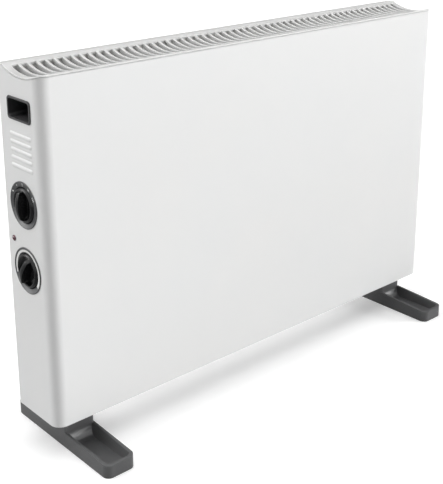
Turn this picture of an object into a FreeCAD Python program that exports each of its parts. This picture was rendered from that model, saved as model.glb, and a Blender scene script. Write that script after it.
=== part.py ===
import FreeCAD
import Part
import math
import os

# Free-standing convector heater, built about the middle of its case.
# +X is the right-hand side seen from the front, the front faces -Y, +Z is up.
# All sizes are in millimetres and the floor is at z = 0.

# Case
case_width = 600.0
case_depth = 75.0
case_height = 378.0
ground_clearance = 39.0
sheet = 1.0
corner_radius = 12.5
rear_flange = 14.0
panel_edge_gap = 1.0
fit = 0.3
cut_margin = 1.0

# Top grille
front_drop = 2.5
trough_depth = 7.5
trough_setback = 2.0
front_lip = 3.8
rear_rim = 9.0
rear_band = 4.0
rear_band_rise = 2.0
end_rim = 5.0
grille_cap = 1.6
fin_depth = 8.0
seam = 0.6
slot_width = 7.5
fin_width = 2.8
boss_width = 12.0
boss_height = 14.0
boss_inset = 90.0
boss_screw_drop = 14.0
grille_screw_length = 6.0

# Rear panel
intake_slot_width = 4.0
intake_slot_height = 34.0
intake_slot_pitch = 12.0
intake_slot_rise = 22.0
intake_rows = 2
intake_row_gap = 10.0
intake_end_margin = 70.0
bead_count = 2
bead_radius = 8.0
bead_rise = 1.6
bead_margin = 60.0
bead_drop = 60.0
bead_spacing = 110.0
rear_screw_margin = 24.0
rear_screw_count = 4

# Bottom plate
pan_flange = 14.0
floor_slot_width = 5.0
floor_slot_length = 44.0
floor_slot_pitch = 13.0
floor_slot_margin = 30.0

# Feet
foot_width = 37.0
foot_front = 96.0
foot_rear = 80.0
foot_inset = 20.0
foot_corner = 8.0
foot_tip_height = 14.5
foot_rim_height = 18.0
foot_wall = 2.6
foot_floor = 6.0
foot_draft = 4.5
foot_floor_corner = 1.5
riser_length = 41.0
riser_edge = 3.0
riser_cap = 4.0
riser_fillet = 12.0
foot_screw_spacing = 20.0

# Hand grips
grip_opening_y = 38.0
grip_opening_z = 19.0
grip_corner = 3.0
grip_wall = 1.6
grip_flange = 2.3
grip_flange_thickness = 1.2
grip_flange_round = 0.8
grip_depth = 30.0
grip_top_margin = 29.5
grip_setback = 0.0

# Pressed ribs on the left side
rib_count = 5
rib_pitch = 8.2
rib_length = 35.0
rib_radius = 3.4
rib_rise = 1.0
rib_margin = 15.0
rib_setback = 0.5

# Dials and knobs
dial_radius = 24.8
dial_flange_thickness = 1.0
dial_flange_round = 0.6
dial_setback = 2.0
dial_margin = 14.4
dial_gap = 21.3
cup_wall = 1.4
cup_depth = 8.5
cup_floor = 1.5
knob_radius = 18.7
knob_face_radius = 16.0
knob_rise = 2.4
knob_depth = 6.0
knob_gap = 0.5
hollow_radius = 14.8
hollow_depth = 4.6
hollow_round = 2.6
blade_width = 6.2
blade_round = 1.8
blade_rise = 9.0
blade_bow = 32.0
thermostat_angle = 28.0
spindle_radius = 3.0
spindle_grip = 6.0
running_clearance = 0.06

# Heat selector switch
switch_size = 28.0
switch_depth = 22.0
switch_bore_depth = 14.0
terminal_width = 6.3
terminal_thickness = 0.8
terminal_length = 8.0
terminal_offset = 8.0

# Thermostat
frame_length = 46.0
frame_width = 22.0
frame_thickness = 1.5
bush_radius = 5.0
bush_length = 5.0
stack_radius = 4.5
stack_offset = 16.0
spacer_lower = 6.0
spacer_middle = 4.0
spacer_upper = 3.0
contact_thickness = 0.6
contact_width = 6.0
bimetal_thickness = 0.9
bimetal_width = 8.0
blade_overhang = 6.0
blade_reach = 34.0
stack_rivet_radius = 1.6

# Pilot lamp
lamp_radius = 2.5
lamp_flange_radius = 3.1
lamp_flange_thickness = 0.6
lamp_dome = 1.2
lamp_stem = 9.0
lamp_holder_wall = 1.6
lamp_holder_length = 16.0
lamp_rise = 29.1
lamp_rear_margin = 12.0

# Control bay and heating chamber
control_bay = 68.0
partition_top_gap = 24.0
grommet_radius = 10.0
grommet_wall = 2.0
grommet_lip = 1.5
bracket_gap = 40.0
bracket_end_margin = 24.0
bracket_sheet = 1.2
bracket_width = 48.0
bracket_flange = 12.0
bracket_top_margin = 24.0
baffle_sheet = 0.8
baffle_bottom = 24.0
baffle_height = 240.0

# Heating elements
element_height = 60.0
element_spacing = 50.0
fin_span = 50.0
fin_sheet = 1.6
fin_angle = 35.0
core_radius = 6.0
sheath_radius = 4.0
sheath_length = 14.0
ceramic_radius = 5.8
ceramic_collar_radius = 7.4
ceramic_collar = 3.0
ceramic_length = 8.0
pin_radius = 1.2
pin_offset = 2.2
pin_length = 10.0
strap_width = 3.6
strap_thickness = 0.8

# Thermal cut-out
cutout_radius = 8.0
cutout_depth = 10.0
cutout_plate = 1.2
cutout_cap_radius = 6.5
cutout_cap = 4.0
cutout_setback = 20.0
cutout_rise = 135.0
cutout_rivet_reach = 11.0

# Supply terminals, cord inlet and earth stud
block_depth = 18.0
block_length = 40.0
block_height = 20.0
block_rise = 40.0
way_pitch = 12.0
way_bore = 1.8
block_screw_radius = 2.2
block_screw_inset = 1.0
barrier_groove_depth = 3.0
barrier_groove_width = 2.0
inlet_height = 32.0
inlet_inset = 38.0
inlet_bore = 4.2
inlet_wall = 2.2
inlet_flange = 3.0
inlet_flange_thickness = 2.5
inlet_length = 12.0
earth_inset = 14.0
earth_setback = 22.0
earth_radius = 2.0
earth_length = 12.0
wire_radius = 1.3
wire_bend = 6.0
wire_gap = 0.3

# Fasteners
screw_radius = 1.8
screw_head_radius = 3.6
screw_head = 2.2
screw_length = 9.0
foot_screw_radius = 2.0
foot_screw_head_radius = 4.0
foot_screw_head = 2.6
small_screw_radius = 1.2
small_head_radius = 2.3
small_head = 1.3
small_screw_length = 8.0
small_screw_offset = 10.5
nut_flats = 7.0
nut_height = 3.2
rivet_radius = 1.5
rivet_head_radius = 2.8
rivet_head = 1.0
drive_width = 0.28
drive_depth = 0.55
head_round = 0.45

# Places worked out from the sizes above
half_width = case_width / 2
front_y = -case_depth / 2
rear_y = case_depth / 2
panel_y = rear_y - sheet
inner_rear_y = panel_y - sheet
inner_front_y = front_y + sheet
base_z = ground_clearance
plate_z = base_z + sheet
rear_top_z = base_z + case_height
front_top_z = rear_top_z - front_drop
panel_top_z = rear_top_z - grille_cap - seam
left_x = -half_width
side_inner_x = left_x + sheet
partition_x = left_x + control_bay
chamber_x = partition_x + sheet
left_bracket_x = chamber_x + bracket_gap
grip_z = rear_top_z - grip_top_margin - grip_flange - grip_opening_z / 2
rib_top_z = grip_z - grip_opening_z / 2 - grip_flange - rib_margin
rib_bottom_z = rib_top_z - (rib_count - 1) * rib_pitch
heat_z = rib_bottom_z - dial_margin - dial_radius
thermostat_z = heat_z - 2 * dial_radius - dial_gap
lamp_y = rear_y - lamp_rear_margin
lamp_z = thermostat_z + lamp_rise
cup_bore = knob_radius + knob_gap
cup_radius = cup_bore + cup_wall
cup_back_x = left_x + cup_depth + cup_floor
foot_x = half_width - foot_inset - foot_width / 2
foot_length = foot_front + foot_rear
foot_y = (foot_rear - foot_front) / 2
foot_screw_y = foot_screw_spacing / 2
right_bracket_x = foot_x - bracket_end_margin
baffle_y = bracket_width / 2
lower_element_z = base_z + element_height
upper_element_z = lower_element_z + element_spacing
grommet_z = (heat_z + thermostat_z) / 2
cutout_z = base_z + cutout_rise
block_z = base_z + block_rise
inlet_x = left_x + inlet_inset
inlet_z = base_z + inlet_height
earth_x = left_x + earth_inset
footprint_shift_x = (blade_rise - grip_flange_thickness) / 2
footprint_shift_y = -foot_y

X_AXIS = FreeCAD.Vector(1, 0, 0)
Y_AXIS = FreeCAD.Vector(0, 1, 0)
Z_AXIS = FreeCAD.Vector(0, 0, 1)


def point(x, y, z):
    return FreeCAD.Vector(x, y, z)


def block(x0, x1, y0, y1, z0, z1):
    """Rectangular block between two corners."""
    return Part.makeBox(x1 - x0, y1 - y0, z1 - z0, point(x0, y0, z0))


def rod(radius, start, end):
    """Round bar from one point to another."""
    along = end - start
    return Part.makeCylinder(radius, along.Length, start, along)


def drill(radius, start, end):
    """Cutter for a round hole that goes right through, from one face to the other."""
    longer = (end - start).normalize() * cut_margin
    return rod(radius, start - longer, end + longer)


def ring(outer, inner, start, end):
    """Tube from one point to another."""
    return rod(outer, start, end).cut(drill(inner, start, end))


def outline(points):
    """Closed face through points in order."""
    return Part.Face(Part.makePolygon(points + [points[0]]))


def rounded_rectangle(width, height, radius):
    """Face in the XY plane, centred, with round corners."""
    plate = Part.Face(Part.makePolygon([
        point(-width / 2, -height / 2, 0),
        point(width / 2, -height / 2, 0),
        point(width / 2, height / 2, 0),
        point(-width / 2, height / 2, 0),
        point(-width / 2, -height / 2, 0),
    ]))
    prism = plate.extrude(Z_AXIS)
    upright = [edge for edge in prism.Edges if abs(edge.tangentAt(edge.FirstParameter).z) > 0.9]
    rounded = prism.makeFillet(radius, upright)
    lowest = min(rounded.Faces, key=lambda face: face.CenterOfMass.z)
    return Part.Face(lowest.OuterWire)


def stadium(length, width):
    """Face in the XY plane, centred, with half-round ends along X."""
    reach = (length - width) / 2
    half = width / 2
    top = Part.LineSegment(point(-reach, half, 0), point(reach, half, 0)).toShape()
    right = Part.Arc(point(reach, half, 0), point(reach + half, 0, 0), point(reach, -half, 0)).toShape()
    low = Part.LineSegment(point(reach, -half, 0), point(-reach, -half, 0)).toShape()
    left = Part.Arc(point(-reach, -half, 0), point(-reach - half, 0, 0), point(-reach, half, 0)).toShape()
    return Part.Face(Part.Wire([top, right, low, left]))


def capsule(radius, start, end):
    """Bar with hemispherical ends, from one end's centre to the other's."""
    along = end - start
    length = along.Length
    slope = radius * math.sqrt(0.5)
    low_end = Part.Arc(point(0, 0, -radius), point(slope, 0, -slope), point(radius, 0, 0)).toShape()
    side = Part.LineSegment(point(radius, 0, 0), point(radius, 0, length)).toShape()
    high_end = Part.Arc(
        point(radius, 0, length), point(slope, 0, length + slope), point(0, 0, length + radius)).toShape()
    axis = Part.LineSegment(point(0, 0, length + radius), point(0, 0, -radius)).toShape()
    bar = Part.Face(Part.Wire([low_end, side, high_end, axis])).revolve(point(0, 0, 0), Z_AXIS, 360)
    bar.Placement = FreeCAD.Placement(start, FreeCAD.Rotation(Z_AXIS, along))
    return bar


def rounded_front_prism(half, low_y, high_y, radius, low_z, high_z):
    """Upright prism whose two front corners are round in plan."""
    prism = block(-half, half, low_y, high_y, low_z, high_z)
    corners = [
        edge for edge in prism.Edges
        if abs(edge.tangentAt(edge.FirstParameter).z) > 0.9 and edge.CenterOfMass.y < low_y + radius
    ]
    return prism.makeFillet(radius, corners)


def space_above_top(drop):
    """Everything above the grille's top surface, lowered by drop."""
    beyond = 2 * fin_depth
    front = front_top_z - drop
    rear = rear_top_z - drop
    low = rear_top_z - trough_depth - drop
    ceiling = rear_top_z + beyond
    corners = [
        point(left_x - beyond, front_y - beyond, front),
        point(left_x - beyond, front_y + front_lip, front),
        point(left_x - beyond, trough_setback, low),
        point(left_x - beyond, rear_y - rear_rim - rear_band, rear - rear_band_rise),
        point(left_x - beyond, rear_y - rear_rim, rear),
        point(left_x - beyond, rear_y + beyond, rear),
        point(left_x - beyond, rear_y + beyond, ceiling),
        point(left_x - beyond, front_y - beyond, ceiling),
    ]
    edges = [
        Part.LineSegment(corners[0], corners[1]).toShape(),
        Part.Arc(corners[1], corners[2], corners[3]).toShape(),
        Part.LineSegment(corners[3], corners[4]).toShape(),
        Part.LineSegment(corners[4], corners[5]).toShape(),
        Part.LineSegment(corners[5], corners[6]).toShape(),
        Part.LineSegment(corners[6], corners[7]).toShape(),
        Part.LineSegment(corners[7], corners[0]).toShape(),
    ]
    return Part.Face(Part.Wire(edges)).extrude(point(case_width + 2 * beyond, 0, 0))


def round_edges(solid, radius, wanted):
    """Round the edges of a solid that the test picks out."""
    return solid.makeFillet(radius, [edge for edge in solid.Edges if wanted(edge)])


def headed_pin(start, direction, radius, length, head_radius, head):
    """Pin with a round-edged head behind its start, pointing along direction."""
    shank = rod(radius, point(0, 0, 0), Z_AXIS * length)
    cap = rod(head_radius, Z_AXIS * -head, point(0, 0, 0))
    cap = round_edges(cap, head * head_round, lambda edge: edge.BoundBox.ZMax < -head / 2)
    pin = shank.fuse(cap).removeSplitter()
    pin.Placement = FreeCAD.Placement(start, FreeCAD.Rotation(Z_AXIS, direction))
    return pin


def screw(start, direction, radius, length, head_radius, head):
    """Headed pin with a cross recess in its head."""
    pin = headed_pin(point(0, 0, 0), Z_AXIS, radius, length, head_radius, head)
    half = head_radius * drive_width / 2
    arm = head_radius * drive_depth
    depth = head * (drive_depth - 1)
    recess = block(-arm, arm, -half, half, -2 * head, depth)
    recess = recess.fuse(block(-half, half, -arm, arm, -2 * head, depth))
    pin = pin.cut(recess)
    pin.Placement = FreeCAD.Placement(start, FreeCAD.Rotation(Z_AXIS, direction))
    return pin


def hex_nut(center, bore):
    """Hexagon nut standing on the point given, axis upright."""
    corner = nut_flats / 2 / math.cos(math.pi / 6)
    corners = []
    for index in range(6):
        angle = index * math.pi / 3
        corners.append(center + point(corner * math.cos(angle), corner * math.sin(angle), 0))
    nut = outline(corners).extrude(Z_AXIS * nut_height)
    return nut.cut(drill(bore, center, center + Z_AXIS * nut_height))


def wire_run(points, radius=wire_radius, bend=wire_bend):
    """Round wire along straight runs joined by tangent arcs."""
    edges = []
    start = points[0]
    for before, corner, after in zip(points, points[1:], points[2:]):
        back = (before - corner).normalize()
        ahead = (after - corner).normalize()
        half_turn = (math.pi - back.getAngle(ahead)) / 2
        trim = bend * math.tan(half_turn)
        inward = (back + ahead).normalize()
        middle = corner + inward * (bend / math.cos(half_turn) - bend)
        edges.append(Part.LineSegment(start, corner + back * trim).toShape())
        edges.append(Part.Arc(corner + back * trim, middle, corner + ahead * trim).toShape())
        start = corner + ahead * trim
    edges.append(Part.LineSegment(start, points[-1]).toShape())
    path = Part.Wire(edges)
    first = (points[1] - points[0]).normalize()
    section = Part.Wire(Part.makeCircle(radius, points[0], first))
    return path.makePipeShell([section], True, False)


def side_plate(face, center, thickness, outward):
    """Face from the XY plane stood up on a side wall: its X runs along Y and its Y along Z."""
    stood = face.copy()
    stood.Placement = FreeCAD.Placement(center, FreeCAD.Rotation(Y_AXIS, Z_AXIS, X_AXIS, "ZXY"))
    return stood.extrude(X_AXIS * thickness * outward)


def rear_plate(face, center, thickness):
    """Face from the XY plane stood up on the rear wall: its X runs along Z and its Y along X."""
    stood = face.copy()
    stood.Placement = FreeCAD.Placement(center, FreeCAD.Rotation(Z_AXIS, X_AXIS, Y_AXIS, "ZXY"))
    return stood.extrude(Y_AXIS * thickness)


def spread(low, high, pitch):
    """Evenly spaced places, centred between two limits."""
    count = int((high - low) / pitch) + 1
    first = (low + high - (count - 1) * pitch) / 2
    return [first + index * pitch for index in range(count)]


def spaced(low, high, count):
    """The given number of places from one limit to the other."""
    return [low + (high - low) * index / (count - 1) for index in range(count)]


rear_screw_x = half_width - rear_flange / 2
rear_screw_places = [
    point(side * rear_screw_x, rear_y, height)
    for side in (-1, 1)
    for height in spaced(base_z + rear_screw_margin, panel_top_z - rear_screw_margin, rear_screw_count)
]
boss_z = rear_top_z - boss_screw_drop
boss_places = [point(x, rear_y, boss_z) for x in (-half_width + boss_inset, 0, half_width - boss_inset)]
foot_screw_places = [(side * foot_x, y) for side in (-1, 1) for y in (-foot_screw_y, foot_screw_y)]
bracket_screw_places = [
    (x, y)
    for x in (left_bracket_x - bracket_flange / 2, right_bracket_x + bracket_sheet + bracket_flange / 2)
    for y in (-bracket_width / 4, bracket_width / 4)
]


def grip_hole(side):
    """Hole in a side wall that the hand grip's cup goes through."""
    room = grip_wall + fit
    face = rounded_rectangle(grip_opening_y + 2 * room, grip_opening_z + 2 * room, grip_corner + grip_wall)
    center = point(side * (half_width + cut_margin), grip_setback, grip_z)
    return side_plate(face, center, sheet + 2 * cut_margin, -side)


def make_front_casing():
    outer = rounded_front_prism(half_width, front_y, panel_y, corner_radius, base_z, rear_top_z)
    low_z = base_z - cut_margin
    high_z = rear_top_z + cut_margin
    inner = rounded_front_prism(
        half_width - sheet, inner_front_y, inner_rear_y, corner_radius - sheet, low_z, high_z)
    opening = block(
        -half_width + rear_flange, half_width - rear_flange, inner_rear_y - cut_margin, panel_y + cut_margin,
        low_z, high_z)
    casing = outer.cut([inner, opening, space_above_top(grille_cap + seam)])
    ribs = []
    hollows = []
    outside = block(left_x - rib_rise, side_inner_x, front_y, rear_y, base_z, rear_top_z)
    rib_x = left_x + rib_radius - rib_rise
    for index in range(rib_count):
        height = rib_top_z - index * rib_pitch
        rear_end = point(rib_x, rib_setback + rib_length / 2, height)
        front_end = point(rib_x, rib_setback - rib_length / 2, height)
        ribs.append(capsule(rib_radius, front_end, rear_end).common(outside))
        hollows.append(capsule(rib_radius - sheet, front_end, rear_end))
    casing = casing.fuse(ribs)
    holes = hollows + [grip_hole(-1), grip_hole(1)]
    for height in (heat_z, thermostat_z):
        holes.append(drill(
            cup_radius + fit, point(left_x, dial_setback, height), point(side_inner_x, dial_setback, height)))
    holes.append(drill(lamp_radius + fit, point(left_x, lamp_y, lamp_z), point(side_inner_x, lamp_y, lamp_z)))
    for place in rear_screw_places:
        holes.append(drill(screw_radius + fit / 2, place, place - Y_AXIS * 2 * sheet))
    return casing.cut(holes).removeSplitter()


def make_rear_panel():
    half = half_width - panel_edge_gap
    panel = block(-half, half, panel_y, rear_y, base_z, panel_top_z)
    reach = half_width - rear_flange - bead_margin
    ridges = []
    hollows = []
    for index in range(bead_count):
        height = panel_top_z - bead_drop - index * bead_spacing
        start = point(-reach, rear_y + bead_rise - bead_radius, height)
        end = point(reach, rear_y + bead_rise - bead_radius, height)
        outside = block(-half, half, panel_y, rear_y + bead_rise, height - bead_radius, height + bead_radius)
        ridges.append(capsule(bead_radius, start, end).common(outside))
        hollows.append(capsule(bead_radius - sheet, start, end))
    panel = panel.fuse(ridges).cut(hollows)
    holes = []
    slot = stadium(intake_slot_height, intake_slot_width)
    lowest = base_z + intake_slot_rise + intake_slot_height / 2
    for row in range(intake_rows):
        height = lowest + row * (intake_slot_height + intake_row_gap)
        for x in spread(chamber_x + intake_end_margin / 2, half_width - intake_end_margin, intake_slot_pitch):
            holes.append(rear_plate(slot, point(x, panel_y - cut_margin, height), sheet + 2 * cut_margin))
    for place in rear_screw_places + boss_places:
        holes.append(drill(screw_radius + fit / 2, place, place - Y_AXIS * sheet))
    inlet = point(inlet_x, panel_y, inlet_z)
    holes.append(drill(inlet_bore + inlet_wall + fit / 2, inlet, inlet + Y_AXIS * sheet))
    return panel.cut(holes).removeSplitter()


def make_bottom_plate():
    half = half_width - sheet - fit
    low_y = inner_front_y + fit
    radius = corner_radius - sheet - fit
    rim_z = plate_z + pan_flange
    pan = rounded_front_prism(half, low_y, panel_y, radius, base_z, rim_z)
    room = rounded_front_prism(
        half - sheet, low_y + sheet, panel_y - sheet, radius - sheet, plate_z, rim_z + cut_margin)
    cuts = [room]
    for side in (-1, 1):
        inner = side * (half_width - rear_flange - fit)
        outer = side * half_width
        cuts.append(block(
            min(inner, outer), max(inner, outer), inner_rear_y - fit, rear_y, base_z - cut_margin,
            rim_z + cut_margin))
    slot = stadium(floor_slot_length, floor_slot_width)
    reach = foot_x - foot_width / 2 - floor_slot_margin
    for x in spread(left_bracket_x + floor_slot_margin, reach, floor_slot_pitch):
        opening = slot.copy()
        opening.Placement = FreeCAD.Placement(point(x, 0, base_z - cut_margin), FreeCAD.Rotation(Z_AXIS, 90))
        cuts.append(opening.extrude(Z_AXIS * (sheet + 2 * cut_margin)))
    for x, y in foot_screw_places:
        cuts.append(drill(foot_screw_radius + fit / 2, point(x, y, base_z), point(x, y, plate_z)))
    for x, y in bracket_screw_places:
        cuts.append(drill(rivet_radius + fit / 2, point(x, y, base_z), point(x, y, plate_z)))
    cuts.append(drill(
        earth_radius + fit / 2, point(earth_x, earth_setback, base_z),
        point(earth_x, earth_setback, plate_z)))
    return pan.cut(cuts).removeSplitter()


def make_top_grille():
    top = space_above_top(0)
    low_z = rear_top_z - trough_depth - 2 * fin_depth
    high_z = rear_top_z + cut_margin
    cap_plan = rounded_front_prism(half_width, front_y, rear_y, corner_radius, low_z, high_z)
    cap = cap_plan.common(space_above_top(grille_cap)).cut(top)
    core_inset = sheet + fit
    core_plan = rounded_front_prism(
        half_width - core_inset, front_y + core_inset, inner_rear_y - fit, corner_radius - core_inset,
        low_z, high_z)
    core = core_plan.common(space_above_top(fin_depth)).cut(top)
    bosses = []
    for place in boss_places:
        bosses.append(block(
            place.x - boss_width / 2, place.x + boss_width / 2,
            rear_y - rear_rim, panel_y,
            boss_z - boss_height / 2, panel_top_z - fit))
    clips = []
    for place in boss_places:
        clips.append(block(
            place.x - boss_width / 2, place.x + boss_width / 2, inner_front_y, front_y + front_lip,
            front_top_z - boss_height, front_top_z - grille_cap - seam))
    grille = cap.fuse([core] + bosses + clips)
    slots = []
    slot_low = front_y + front_lip
    slot_high = rear_y - rear_rim - rear_band
    pitch = slot_width + fin_width
    edge = half_width - end_rim - slot_width / 2
    for x in spread(-edge, edge, pitch):
        slots.append(block(x - slot_width / 2, x + slot_width / 2, slot_low, slot_high, low_z, high_z))
    screw_reach = Y_AXIS * (grille_screw_length + sheet)
    holes = [rod(screw_radius + fit / 4, place, place - screw_reach) for place in boss_places]
    return grille.cut(slots).cut(holes).removeSplitter()


def make_grip_cup(side):
    wall_x = side * half_width
    flange_face = rounded_rectangle(
        grip_opening_y + 2 * grip_flange, grip_opening_z + 2 * grip_flange, grip_corner + grip_flange / 2)
    cup_face = rounded_rectangle(
        grip_opening_y + 2 * grip_wall, grip_opening_z + 2 * grip_wall, grip_corner + grip_wall)
    hollow_face = rounded_rectangle(grip_opening_y, grip_opening_z, grip_corner)
    center = point(wall_x, grip_setback, grip_z)
    mouth = point(wall_x + side * (grip_flange_thickness + cut_margin), grip_setback, grip_z)
    flange = side_plate(flange_face, center, grip_flange_thickness, side)
    outer_x = half_width + grip_flange_thickness
    flange = round_edges(
        flange, grip_flange_round,
        lambda edge: abs(edge.CenterOfMass.x) > outer_x - grip_flange_thickness / 4)
    cup = side_plate(cup_face, center, grip_depth + grip_wall, -side)
    hollow = side_plate(hollow_face, mouth, grip_depth + grip_flange_thickness + cut_margin, -side)
    return flange.fuse(cup).cut(hollow).removeSplitter()


def make_foot(side):
    center_x = side * foot_x
    half_riser = riser_length / 2
    base = rounded_rectangle(foot_width, foot_length, foot_corner)
    base.translate(Y_AXIS * foot_y)
    solid = base.extrude(Z_AXIS * foot_rim_height)
    slopes = []
    for end, reach in ((-1, foot_front), (1, foot_rear)):
        slopes.append(outline([
            point(-foot_width, end * half_riser, foot_rim_height),
            point(-foot_width, end * reach, foot_tip_height),
            point(-foot_width, end * 2 * reach, foot_tip_height),
            point(-foot_width, end * 2 * reach, 2 * foot_rim_height),
            point(-foot_width, end * half_riser, 2 * foot_rim_height),
        ]).extrude(X_AXIS * 2 * foot_width))
    solid = solid.cut(slopes)
    outlines = []
    for inset, corner, level in ((foot_wall + foot_draft, foot_floor_corner, foot_floor),
                                 (foot_wall, foot_corner - foot_wall, foot_rim_height)):
        tray = rounded_rectangle(foot_width - 2 * inset, foot_length - 2 * inset, corner)
        tray.translate(point(0, foot_y, level))
        outlines.append(tray.OuterWire)
    hollow = Part.makeLoft(outlines, True, True)
    shoulder = foot_floor + riser_fillet
    slant = riser_fillet * (1 - math.sqrt(0.5))
    roof = 2 * foot_rim_height
    toe = half_riser + riser_fillet
    rear_arc = Part.Arc(
        point(-foot_width, toe, foot_floor), point(-foot_width, half_riser + slant, foot_floor + slant),
        point(-foot_width, half_riser, shoulder)).toShape()
    front_arc = Part.Arc(
        point(-foot_width, -half_riser, shoulder),
        point(-foot_width, -half_riser - slant, foot_floor + slant),
        point(-foot_width, -toe, foot_floor)).toShape()
    top = Part.makePolygon([
        point(-foot_width, half_riser, shoulder), point(-foot_width, half_riser, roof),
        point(-foot_width, -half_riser, roof), point(-foot_width, -half_riser, shoulder)])
    base_line = Part.LineSegment(
        point(-foot_width, -toe, foot_floor), point(-foot_width, toe, foot_floor)).toShape()
    kept = Part.Face(Part.Wire([rear_arc] + top.Edges + [front_arc, base_line]))
    kept = kept.extrude(X_AXIS * 2 * foot_width)
    solid = solid.cut(hollow.cut(kept))
    riser = rounded_rectangle(foot_width, riser_length, riser_edge).extrude(Z_AXIS * ground_clearance)
    solid = solid.fuse(riser)
    pocket = rounded_rectangle(foot_width - 2 * foot_wall, riser_length - 2 * foot_wall, riser_edge)
    pocket.translate(Z_AXIS * -cut_margin)
    cap_z = ground_clearance - riser_cap
    cuts = [pocket.extrude(Z_AXIS * (cap_z + cut_margin))]
    for y in (-foot_screw_y, foot_screw_y):
        cuts.append(drill(foot_screw_radius + fit / 2, point(0, y, cap_z), point(0, y, ground_clearance)))
    solid = solid.cut(cuts).removeSplitter()
    solid.translate(X_AXIS * center_x)
    return solid


def make_foot_screws():
    length = riser_cap + sheet + nut_height
    return [
        screw(point(x, y, ground_clearance - riser_cap), Z_AXIS, foot_screw_radius, length,
              foot_screw_head_radius, foot_screw_head)
        for x, y in foot_screw_places
    ]


def make_foot_nuts():
    return [hex_nut(point(x, y, plate_z), foot_screw_radius + fit / 4) for x, y in foot_screw_places]


def make_rear_screws():
    return [screw(place, -Y_AXIS, screw_radius, screw_length, screw_head_radius, screw_head)
            for place in rear_screw_places]


def make_grille_screws():
    return [screw(place, -Y_AXIS, screw_radius, grille_screw_length, screw_head_radius, screw_head)
            for place in boss_places]


def make_dial_cup(height):
    """Flanged cup that carries one control: dial face outside, floor for the control inside."""
    axis = point(left_x, dial_setback, height)
    flange = rod(dial_radius, axis - X_AXIS * dial_flange_thickness, axis)
    flange = round_edges(
        flange, dial_flange_round, lambda edge: edge.BoundBox.XMax < left_x - dial_flange_thickness / 2)
    cup = rod(cup_radius, axis, axis + X_AXIS * (cup_depth + cup_floor))
    bore = rod(cup_bore, axis - X_AXIS * 2 * dial_flange_thickness, axis + X_AXIS * cup_depth)
    floor_start = axis + X_AXIS * cup_depth
    floor_end = axis + X_AXIS * (cup_depth + cup_floor)
    holes = [drill(spindle_radius + fit, floor_start, floor_end)]
    for offset in (-small_screw_offset, small_screw_offset):
        aside = Y_AXIS * offset
        holes.append(drill(small_screw_radius + fit / 2, floor_start + aside, floor_end + aside))
    return flange.fuse(cup).cut([bore] + holes).removeSplitter()


def make_knob(height, angle):
    """Low round knob with a grip blade between two finger hollows, turned clockwise by angle."""
    axis = point(left_x, dial_setback, height)
    half_profile = outline([
        point(left_x + knob_depth, dial_setback, height),
        point(left_x + knob_depth, dial_setback, height + knob_radius),
        point(left_x, dial_setback, height + knob_radius),
        point(left_x - knob_rise, dial_setback, height + knob_face_radius),
        point(left_x - knob_rise, dial_setback, height),
    ])
    knob = half_profile.revolve(axis, X_AXIS, 360)
    face_x = left_x - knob_rise
    crown_x = left_x - blade_rise
    hollow_floor = face_x + hollow_depth
    scoops = []
    for side in (-1, 1):
        near_y = dial_setback + side * blade_width / 2
        far_y = dial_setback + side * 2 * hollow_radius
        half = block(crown_x, hollow_floor, min(near_y, far_y), max(near_y, far_y),
                     height - 2 * hollow_radius, height + 2 * hollow_radius)
        scoop = half.common(rod(hollow_radius, point(crown_x, dial_setback, height),
                                point(hollow_floor, dial_setback, height)))
        scoops.append(round_edges(scoop, hollow_round, lambda edge: edge.BoundBox.XMin > face_x))
    bow = point(crown_x + blade_bow, dial_setback, height)
    half_blade = Y_AXIS * (blade_width / 2)
    disc = rod(blade_bow, bow - half_blade, bow + half_blade)
    blade = round_edges(disc, blade_round, lambda edge: edge.Closed)
    blade = blade.common(rod(knob_face_radius, point(crown_x - cut_margin, dial_setback, height),
                             point(left_x, dial_setback, height)))
    knob = knob.cut(scoops).fuse(blade)
    socket_end = point(left_x + knob_depth - spindle_grip, dial_setback, height)
    socket_start = point(left_x + knob_depth + cut_margin, dial_setback, height)
    knob = knob.cut(rod(spindle_radius + running_clearance, socket_end, socket_start)).removeSplitter()
    knob.rotate(axis, X_AXIS, angle)
    return knob


def make_heat_spindle():
    start = left_x + knob_depth - spindle_grip + fit
    end = cup_back_x + switch_bore_depth - fit
    return rod(spindle_radius, point(start, dial_setback, heat_z), point(end, dial_setback, heat_z))


def make_heat_switch():
    half = switch_size / 2
    body = block(cup_back_x, cup_back_x + switch_depth, dial_setback - half, dial_setback + half,
                 heat_z - half, heat_z + half)
    upright = [edge for edge in body.Edges if abs(edge.tangentAt(edge.FirstParameter).x) > 0.9]
    body = body.makeFillet(terminal_thickness * 2, upright)
    axis = point(cup_back_x - cut_margin, dial_setback, heat_z)
    holes = [rod(spindle_radius + running_clearance, axis, axis + X_AXIS * (switch_bore_depth + cut_margin))]
    screw_reach = X_AXIS * (small_screw_length + cut_margin)
    for offset in (-small_screw_offset, small_screw_offset):
        start = axis + Y_AXIS * offset
        holes.append(rod(small_screw_radius + running_clearance, start, start + screw_reach))
    return body.cut(holes)


switch_back_x = cup_back_x + switch_depth
terminal_tip_x = switch_back_x + terminal_length
switch_terminal_places = [
    (dial_setback + side * terminal_offset, heat_z + level * terminal_offset)
    for level in (1, -1) for side in (-1, 1)
]


def make_switch_terminals():
    return [
        block(switch_back_x, terminal_tip_x, y - terminal_width / 2, y + terminal_width / 2,
              z - terminal_thickness / 2, z + terminal_thickness / 2)
        for y, z in switch_terminal_places
    ]


def make_control_screws(height):
    """Two small screws that hold a control to the floor of its dial cup."""
    floor_x = left_x + cup_depth
    return [
        screw(point(floor_x, dial_setback + offset, height), X_AXIS, small_screw_radius, small_screw_length,
              small_head_radius, small_head)
        for offset in (-small_screw_offset, small_screw_offset)
    ]


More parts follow.
